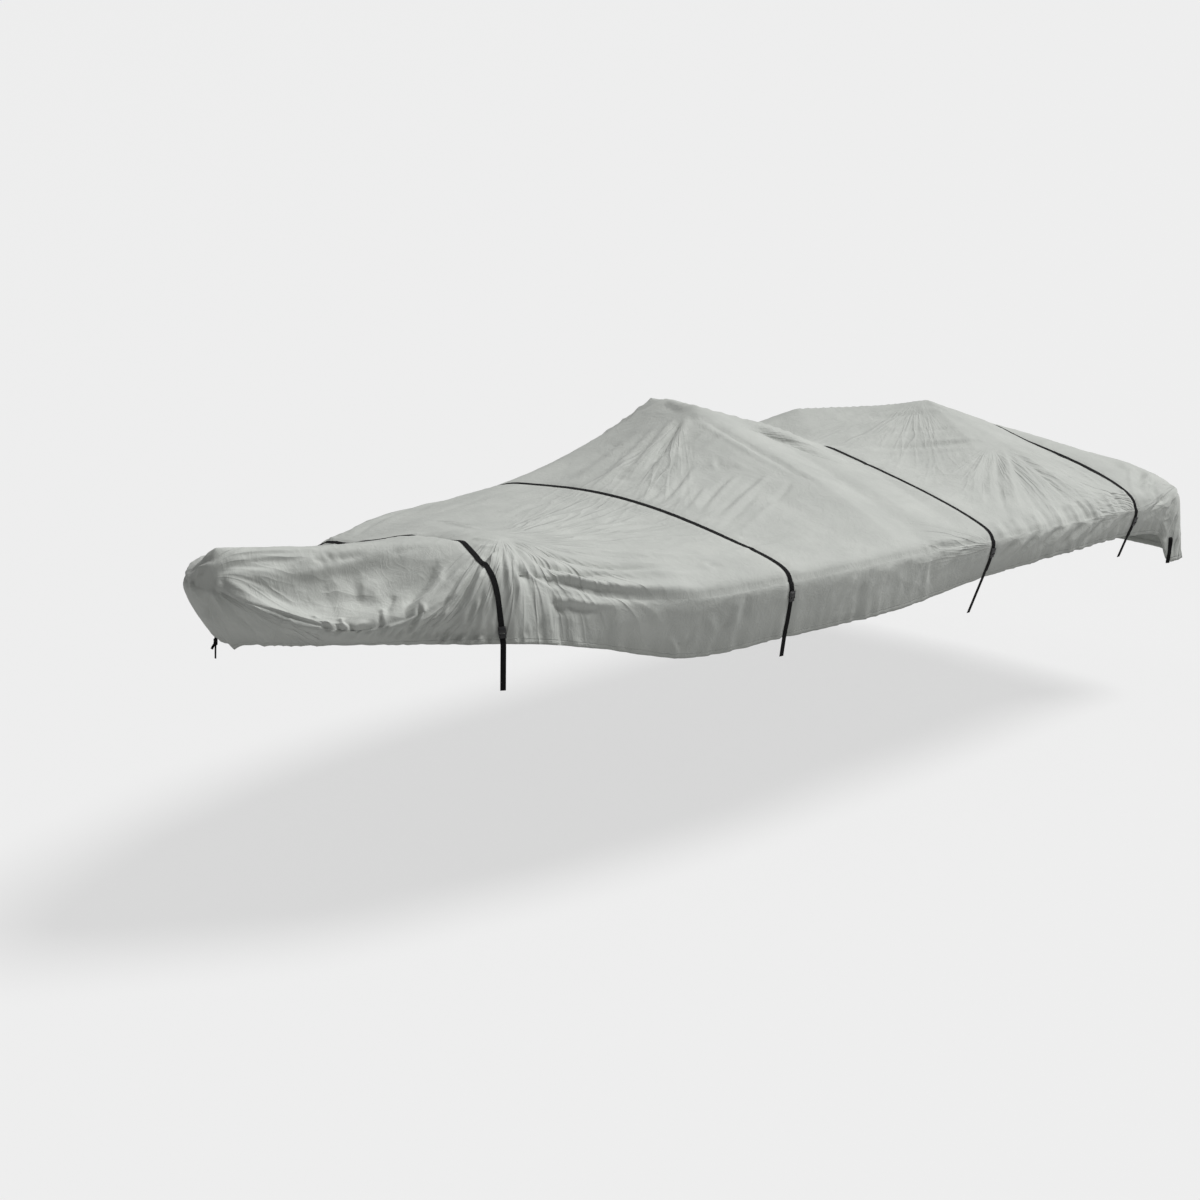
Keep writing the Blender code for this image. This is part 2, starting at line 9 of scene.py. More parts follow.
import bpy
import numpy as np
from mathutils import Euler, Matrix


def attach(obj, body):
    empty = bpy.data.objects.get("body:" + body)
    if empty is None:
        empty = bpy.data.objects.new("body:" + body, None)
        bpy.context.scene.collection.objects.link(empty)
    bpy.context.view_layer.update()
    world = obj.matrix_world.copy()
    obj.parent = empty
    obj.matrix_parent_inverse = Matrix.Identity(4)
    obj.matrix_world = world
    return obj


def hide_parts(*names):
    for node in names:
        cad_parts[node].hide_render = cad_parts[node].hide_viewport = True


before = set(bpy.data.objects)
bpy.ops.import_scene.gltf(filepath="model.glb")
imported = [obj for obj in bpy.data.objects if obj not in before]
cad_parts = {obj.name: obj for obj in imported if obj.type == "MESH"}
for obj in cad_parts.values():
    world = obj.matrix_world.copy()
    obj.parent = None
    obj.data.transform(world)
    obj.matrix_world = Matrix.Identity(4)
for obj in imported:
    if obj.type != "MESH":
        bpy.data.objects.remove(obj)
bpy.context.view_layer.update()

# ---------------------------------------------------------------- dimensions of the cover
GROUND_TO_ORIGIN = 1.663      # height of the origin above the ground that the heights start at

X_BOW = -3.388                # foremost point of the knuckle outline
X_FORE = -3.15                # station of the two bow corners
X_WIDE = -0.45                # station where the outline is widest
X_AFT = 2.529                 # station of the two stern corners
X_STERN = 2.613               # aftmost point of the knuckle outline
LENGTH = X_AFT - X_FORE
HALF_BEAM = 1.165
BOW_FULLNESS = 0.627          # 0.5 gives a round bow, 1 a pointed one
SHOULDER = (0.03, -0.3, 1.0)  # narrowing towards the bow: share, from x, over this length
TAPER = (0.055, 0.2, 2.3)     # narrowing towards the stern: share, from x, over this length
STERN_SQUARE = (60, 0.25)     # powers of the stern's outline; higher and lower are squarer
STERN_CROWN = 0.117           # how far the stern edge rises in its middle
CROWN_POWER = 0.6             # below 1 gives the top a flat middle with rounded edges
END_STEPS = 400               # steps in which the rounded ends of the outline are read
LEAST_HALF = 0.05             # half width that the slopes use where the outline closes
RIDGE_SOFT = 0.06             # width over which a crest's port power takes over
RIDGE_NEAR = 0.3              # and how far fore and aft of the crest it holds
BOW_BEND = 0.9                # length over which the bow's rounding dies out, going aft
STERN_BEND = 0.6              # the same for the stern, going forward
END_BLEND = 0.5               # length over which the crown dies out at either end
TUCK_POWER = 1.5              # the skirt leans in most near its hem
STERN_TUCK = 0.15             # how far ahead of the stern the flap's inward lean points
LEAST_WAY = 1e-9              # keeps the inward direction defined on the middle line
CORNER_SLIDE = (0.14, 0.05)   # how far the skirt columns fan out below a bow or stern corner
CORNER_REACH = 0.55           # length of skirt over which that fan dies out
END_SLIDE = (0.31, 0.06)      # how far the columns of the bow and the flap fan inwards
END_FAN = 0.9                 # share of the half width that this fan takes
SKIRT_UNROLLED = 0.25         # skirt depth in the unrolled coordinates of the folds

# Stations along the sides; heights above the ground.
SIDE_COLUMNS = ("x", "port_knuckle", "starboard_knuckle", "hem", "crown", "tuck", "round_off")
SIDE = np.array([
    (-3.42, 1.514, 1.499, 1.196, 0.045, 0.167, 0.050),
    (-3.20, 1.402, 1.463, 1.199, 0.053, 0.135, 0.045),
    (-3.00, 1.318, 1.431, 1.202, 0.061, 0.102, 0.040),
    (-2.65, 1.375, 1.360, 1.193, 0.025, 0.038, 0.050),
    (-2.30, 1.530, 1.299, 1.173, -0.023, -0.049, 0.070),
    (-1.90, 1.350, 1.250, 1.078, 0.129, 0.031, 0.050),
    (-1.50, 1.262, 1.231, 0.969, 0.205, 0.037, 0.022),
    (-0.85, 1.242, 1.201, 0.957, 0.178, 0.046, 0.022),
    (-0.10, 1.223, 1.209, 0.950, 0.134, 0.030, 0.022),
    (0.63, 1.185, 1.179, 0.965, 0.110, 0.066, 0.022),
    (1.40, 1.151, 1.149, 0.971, 0.095, 0.031, 0.022),
    (2.05, 1.121, 1.113, 0.934, 0.127, 0.056, 0.025),
    (2.24, 1.121, 1.104, 0.908, 0.109, 0.040, 0.028),
    (2.28, 1.121, 1.102, 0.893, 0.105, 0.035, 0.030),
    (2.35, 1.122, 1.098, 0.750, 0.095, 0.010, 0.030),
    (2.42, 1.122, 1.094, 0.735, 0.077, -0.010, 0.030),
    (2.60, 1.114, 1.085, 0.742, 0.067, -0.032, 0.030),
])

# Crests that hold the cloth up.  Each is a line of (x, y, height above the ground), with
# how far its slope runs forward and aft, the power of that slope, and the share of the
# slope over which its top is rounded.
CRESTS = (
    dict(line=((0.183, 0.792, 1.691), (0.118, 0.601, 1.708)),
         fore=1.76, aft=1.16, power=1.58, port_power=1.25, rounded=0.0),
    dict(line=((0.030, 0.552, 1.733), (-0.064, 0.234, 1.755),
               (0.244, 0.150, 1.648), (0.614, -0.065, 1.490)),
         fore=1.30, aft=1.20, power=1.46, port_power=1.14, rounded=0.0),
    dict(line=((0.991, 0.450, 1.574), (1.582, 0.021, 1.580),
               (2.070, -0.102, 1.409), (2.447, -0.039, 1.240)),
         fore=1.10, aft=0.45, power=0.98, port_power=0.90, rounded=0.0),
    dict(line=((1.584, 0.000, 1.582), (1.367, -0.486, 1.424)),
         fore=1.22, aft=0.96, power=1.11, port_power=1.13, rounded=0.0),
    dict(line=((-3.262, -0.040, 1.613), (-2.869, -0.206, 1.571), (-2.254, -0.511, 1.562)),
         fore=0.21, aft=0.79, power=1.73, port_power=1.90, rounded=0.12),
)
CREST_BLEND = 10              # higher keeps crests apart where their slopes meet

# ---------------------------------------------------------------- webbing and buckles
SIDES = ((-1, "port"), (1, "starboard"))
# Straps over the top: station on the middle line, how far the starboard end lies aft of that,
# share of the skirt at which the buckle starts, how far the tail falls and leans inwards below
# the hem, and the length of its loose end.
STRAPS = {
    "bow": dict(x=-2.208, skew=0.175, buckle_at=0.75, tail=(0.205, 0.005), free_end=0.0),
    "fore": dict(x=-0.947, skew=-0.068, buckle_at=0.18, tail=(0.095, 0.015), free_end=0.0),
    "mid": dict(x=0.630, skew=0.002, buckle_at=0.22, tail=(0.20, 0.08), free_end=0.085),
    "stern": dict(x=2.000, skew=0.016, buckle_at=0.32, tail=(0.125, 0.05), free_end=0.075),
}
STRAP_WIDE = 0.025
STRAP_THICK = 0.0018
STRAP_GAP = 0.0007            # clearance between webbing and cloth
STRAP_LIFT = STRAP_GAP + STRAP_THICK / 2.0       # height of the webbing's middle over the cloth
SKEW_REACH = 0.08             # share of the length over which the grid leans with a strap
STRAP_STEPS = 900             # points of a strap's middle line between its hems
TAIL_STEPS = 12               # and of each tail below them
BAND_SQUARE = (0.35, 0.55)    # powers of the webbing's section, across and out
BAND_AROUND = 20              # points round that section
BAND_STEP = 0.012             # length of webbing between two sections
THREADED = 0.006              # how far the webbing runs into a buckle
FOLDED_BACK = 0.045           # webbing folded back over itself above a buckle
FOLDED_LIFT = STRAP_THICK * 1.1                  # how far that fold lies over the webbing
LOOSE_LIFT = STRAP_LIFT * 2.0 + STRAP_THICK / 2.0      # height of a loose end over the cloth
RAGGED_TEETH = 3.3            # teeth across a torn end
TAB_RAGGED = 0.016            # how jagged the torn upper end of a tab is

STERN_TAB_AT = 2.405          # station of the short tabs on the flap's forward edges
STERN_TAB_DROP = 0.66         # share of the skirt at which a tab starts
STERN_TAB_HANG = 0.012        # how far it reaches below the hem

BUCKLE_SIZE = (0.036, 0.050, 0.010)   # across the strap, along it, out from the cloth
BUCKLE_GAP = 0.0012           # clearance between a buckle's back and the cloth
BUCKLE_ABOVE_HEM = 0.020      # least length of cloth left below a buckle
# Blocks as middle (side, along, out), size, squareness and taper: socket, plug, the two wings
# pressed to release it, the bar at each end with its two rails, and a pressed panel.  A block
# whose middle isn't on the strap's line has a twin on the other side.
BUCKLE_BLOCKS = (
    ((0.0, -0.0095, 0.0), (0.0345, 0.0230, 0.0098), (0.40, 0.45), 0.03),
    ((0.0, 0.0150, -0.0003), (0.0285, 0.0150, 0.0084), (0.40, 0.50), -0.08),
    ((0.0150, 0.0045, 0.0), (0.0052, 0.0130, 0.0070), (0.55, 0.60), 0.15),
    ((0.0, -0.0232, 0.0003), (0.0345, 0.0034, 0.0048), (0.45, 0.70), 0.0),
    ((0.0, 0.0236, 0.0003), (0.0310, 0.0028, 0.0044), (0.45, 0.70), 0.0),
    ((0.0155, -0.0215, 0.0), (0.0036, 0.0060, 0.0056), (0.60, 0.60), 0.0),
    ((0.0137, 0.0222, 0.0), (0.0036, 0.0056, 0.0054), (0.60, 0.60), 0.0),
    ((0.0, -0.0105, 0.0042), (0.0200, 0.0130, 0.0024), (0.50, 0.60), 0.25),
)
BLOCK_RINGS = 19              # sections along a block
BLOCK_AROUND = 28             # points round each
BLOCK_CROWDED = 2.2           # above 1 crowds the sections towards the ends
BLOCK_ROUND = (6.0, 0.33)     # powers of the rounding of its ends
BLOCK_LEAST = 0.02            # share of that rounding left at the end section
BLOCK_EDGE = 0.35             # radius of the rounded edge as a share of the least size
BLOCK_THIN = 1e-4             # least half size of a section

BOW_TIE_AT = (-3.190, 0.104)  # plan position of the short strap at the bow hem
BOW_TIE_SEARCH = (-0.3, 0.9, 1201)    # places across the bow hem in which that is looked for
BOW_TIE_INSIDE = 0.0094       # how far behind the hem's outer face it hangs
BOW_TIE_SWING = 0.06          # how far it swings forward for each metre down
BOW_TIE_STEPS = 60
# Down the strap: drop below the hem, width, thickness.
BOW_TIE_SECTIONS = (
    (-0.030, 0.020, 0.002),
    (0.000, 0.020, 0.002),
    (0.009, 0.016, 0.003),
    (0.018, 0.009, 0.006),
    (0.046, 0.008, 0.006),
    (0.056, 0.011, 0.003),
    (0.105, 0.011, 0.0025),
)
KNOT_DROPS = (0.017, 0.046)   # the wraps' first and last height below the hem
KNOT_TURNS = 2.4
KNOT_STEPS = 110
KNOT_RADIUS = 0.0070
KNOT_TILT = 0.004
KNOT_BAND = (0.0110, 0.0034)  # width and thickness of the webbing bunched in the knot
# The knot's short end: how far it reaches aside and down, the power of its bend, how far above
# the last wrap it starts, its points, the way that it goes and the way that it faces.
KNOT_END = (0.016, 0.024, 1.6, 0.006)
KNOT_END_STEPS = 16
KNOT_END_WAY = (-0.707, 0.707, 0.0)
KNOT_END_FACE = (-0.707, -0.707, 0.0)

# ---------------------------------------------------------------- values of the dressed sheet
MM = 0.001
IN_METRE = 1000.0             # thousandths in which the creases are given
NOISE_PERIOD = 64             # lattice corners before the noise repeats
LINE_STEPS = 11               # points in which a crease's curve is read
CREASE_ENDS = (0.22, 0.50)    # shares of a crease over which it comes up and dies away
CREASE_SPREAD = (0.75, 0.50)  # width factor where a crease starts, and its growth along it
CREASE_REACH = 4.0            # widths beyond which a crease isn't felt
MAIN_SHARP = 1.6              # power of the sides of the creases seen
FINE_SHARP = 1.4              # and of the fine ones of the fans
FORM_WIDTH = 50               # wider folds are forms that a strap follows
MIRROR_SEED = 8
MIRROR_FROM = -0.30           # creases that stay this far to port have a mirrored one
MIRROR_MOVE = 0.09            # how far along the side a mirrored crease may move
MIRROR_STILL = (-3.2, 0.8)    # x ahead of which it doesn't, and the length to its full move
MIRROR_SHARES = (0.25, 0.6)   # least and greatest share of its rise that a mirrored crease has
# Fans of fine creases: point (x, q), first and last direction in degrees from +x towards +q,
# how many, where they start and end, rise and width in millimetres.
FANS = (
    (-0.14, 0.23, -205.0, -240.0, 8, 0.30, 1.10, 1.5, 22),
    (0.10, 0.60, 60.0, 160.0, 14, 0.15, 0.75, 4, 20),
    (0.18, 0.79, 20.0, 110.0, 12, 0.10, 0.60, 4, 18),
    (1.00, 0.45, 30.0, 150.0, 12, 0.12, 0.80, 4, 20),
    (1.58, 0.02, 20.0, 120.0, 12, 0.15, 0.90, 4, 18),
    (-2.15, 0.50, 20.0, 160.0, 14, 0.15, 0.70, 4, 20),
    (-3.25, 0.10, 20.0, 100.0, 12, 0.10, 0.60, 2, 18),
)
FAN_SEED = 40
# Least and greatest factor of a crease of a fan: its place in its turn, where it starts, its
# length, rise and width; and the share of the creases that are ridges.
FAN_TURNS = (0.2, 0.8)
FAN_INNER = (0.6, 1.6)
FAN_LENGTH = (0.45, 1.1)
FAN_RISE = (0.35, 1.2)
FAN_WIDTH = (0.6, 1.4)
FAN_RIDGES = 0.6
CRUMPLES = (                  # size along x, size across, rise, seed
    (0.30, 0.11, 0.0030, 61),
    (0.11, 0.06, 0.0012, 62),
)
CRUMPLE_NARROW = 2.2          # how narrow a ridge the noise is cut to, and its power
CRUMPLE_SHARP = 3
PUCKER_RISE = 0.020
PUCKER_WAVES = (              # size along the hem, change down the skirt, seed, share
    (0.055, 0.7, 71, 1.0),
    (0.028, 0.9, 72, 0.6),
)
PUCKER_PATCHES = (0.9, 73, 0.55, 0.1)  # size of stronger patches, seed, middle and least share
PUCKER_POWER = 1.5            # how soon a pucker dies out above the hem
HEM_LINE = 0.895              # share of the skirt at which the hem's stitch line runs
HEM_EDGE = 0.02
HEM_RISE = 0.0010
HEM_GROOVE = 0.0012
# Corner that hangs below the bow hem: q, half width, drop, power of its sides, and the share
# of the skirt at which it starts.
HEM_TIP = (-0.076, 0.022, 0.024, 1.3, 0.6)
HEM_ROWS = 4                  # grid lines from the border to where its rise is read
HEM_MIDDLE = (-0.3, 0.0)      # plan point that the turned hem faces
HEM_TURN = ((0.0008, -0.0004), (0.0018, 0.0002), (0.0022, 0.012), (0.0022, 0.026))
GROOVE_HALF = 0.028           # half width of the groove that a strap presses
GROOVE_DEEP = 0.003
PRESSED_FLAT = (0.55, 0.9)    # how much of the main and fine creases a strap presses out
STEP_ALONG = 0.0015           # small steps by which slopes of the sheet are read
STEP_ACROSS = 0.004
SHEET_LONG, SHEET_WIDE = 466, 142      # cells over the top, along and across
SHEET_SKIRTS = (22, 20, 24, 10)        # cells down the bow, stern, port and starboard skirts
FINE_STEPS = 4000
# Where grid lines lie closer: middle, half width, added density.
LONG_BUMPS = ((-2.65, 0.75, 2.4), (1.9, 0.6, 0.6))
WIDE_BUMPS = ((-1.0, 0.2, 1.4), (-0.5, 0.5, 1.6))
SKIRT_BUMPS = ((0.0, 0.2, 0.6), (1.0, 0.12, 1.0))
STRAP_LINES = (-0.030, -0.016, 0.016, 0.030)     # grid lines beside a strap's middle line
LINE_APART = 0.45             # share of a cell within which they take another line's place

# ---------------------------------------------------------------- looks, light and camera
CLOTH_DARK = (0.44, 0.455, 0.43)
CLOTH_LIGHT = (0.52, 0.535, 0.505)
# Painted shade: the cloth's colour is darkened near its border, standing in for the shade on the lower
# skirts.
HEM_SHADE_REACH = 0.10                 # height above the border over which the cloth is a little darker
HEM_SHADE_SHARE = 0.7
HEM_SHADE_COLOUR = (0.30, 0.31, 0.285, 1.0)
STITCH_ROWS = (0.021, 0.0045)         # rows of stitching above the border
STITCH_HALF = 0.0007
STITCH_PITCH = 1400.0         # radians of the stitches' wave per metre
STITCH_OPEN = -0.4            # value of that wave above which a stitch shows
STITCH_GROOVE = 0.004         # half width of the groove of a row
STITCH_DEEP = 0.15            # its depth in centimetres
STITCH_COLOUR = (0.30, 0.31, 0.29, 1.0)
# Fans of fine creases in the shader: middle (x, q), the way that they open and half their
# opening in degrees, radii where they come up and die away, creases in a radian, height in
# centimetres.  Fans of one set don't meet, so that where one ends none begins.
SHADED_FANS = {
    "fans_one": (
        (-3.36, -0.06, -37.0, 66.0, 0.10, 1.25, 4.5, 1.3),
        (-0.15, 0.24, -160.0, 36.0, 0.14, 1.55, 8.0, 1.2),
        (0.05, 0.16, -48.0, 24.0, 0.25, 1.50, 11.0, 0.9),
        (2.06, -1.17, 158.0, 34.0, 0.08, 0.85, 9.0, 1.4),
        (2.56, -1.02, -125.0, 75.0, 0.10, 0.62, 5.0, 1.6),
        (-2.13, 0.80, 90.0, 100.0, 0.12, 0.90, 6.0, 1.4),
        (2.00, 1.13, 190.0, 50.0, 0.10, 0.90, 8.0, 1.2),
        (0.10, 0.75, 90.0, 80.0, 0.12, 0.80, 6.0, 1.2),
    ),
    "fans_two": (
        (-2.13, -0.54, -80.0, 100.0, 0.09, 0.90, 6.0, 1.7),
        (1.48, -0.50, -96.0, 85.0, 0.15, 0.90, 7.0, 0.8),
        (-3.30, 0.15, 60.0, 60.0, 0.10, 0.90, 5.0, 1.5),
        (1.70, 0.30, 60.0, 80.0, 0.15, 0.90, 6.0, 1.2),
    ),
    "fans_three": (
        (-2.25, -0.42, 6.0, 30.0, 0.25, 2.10, 14.0, 1.4),
        (1.60, 0.08, 202.0, 42.0, 0.25, 1.45, 9.0, 0.9),
        (0.68, -1.22, 168.0, 26.0, 0.10, 0.75, 10.0, 1.1),
    ),
}
FAN_EDGE = 0.35               # radians over which the side of a fan fades
FAN_GROWTH = 0.8              # power at which its height grows with the radius
FAN_APART = 10.0              # turns in creases between two fans, so that none repeats another
FAN_DRIFT = 2.2               # how much a crease changes in a metre of its length
FAN_SOFT = 1.5                # share of broad waves under its thin crests
WRINKLES = ((5.0, 0.09), (15.0, 0.06))     # scale and height in centimetres
WRINKLE_SHARP = 3.2           # how narrow a crest the noise is cut to, and its power
WRINKLE_POWER = 1.6
THREADS = 6000.0              # radians of the weave's wave per metre
WEBBING_THREADS = 3200.0
WEBBING_COLOURS = ((0.004, 0.004, 0.0045), (0.013, 0.013, 0.014))
PLASTIC_COLOURS = ((0.010, 0.010, 0.011), (0.020, 0.020, 0.022))
PLASTIC_GRAIN = 1800.0
CAMERA_AT = (-8.733, -7.767, 2.257)
CAMERA_HEADING = 45.093       # degrees from +X towards +Y
CAMERA_DOWN = 15.172          # degrees below level
CAMERA_LENS = 70.0
CAMERA_SENSOR = 36.0
WHITE = (1.0, 1.0, 1.0, 1.0)
FLOOR_HALF = 600.0
FLOOR_COLOUR = (0.55, 0.55, 0.55, 1.0)
FLOOR_GLOW = 0.65             # share of the floor seen that is plain light, which softens its shadow
SURROUND = 0.20               # light that the surround gives
SKY_SEEN = 0.855              # brightness of the surround beyond the floor, as the floor reads
KEY_POWER = 3.3
KEY_SPREAD = 26.0             # degrees over which the light is spread
KEY_TURN = (12.0, 34.0, 0.0)  # its turn from straight down, in degrees

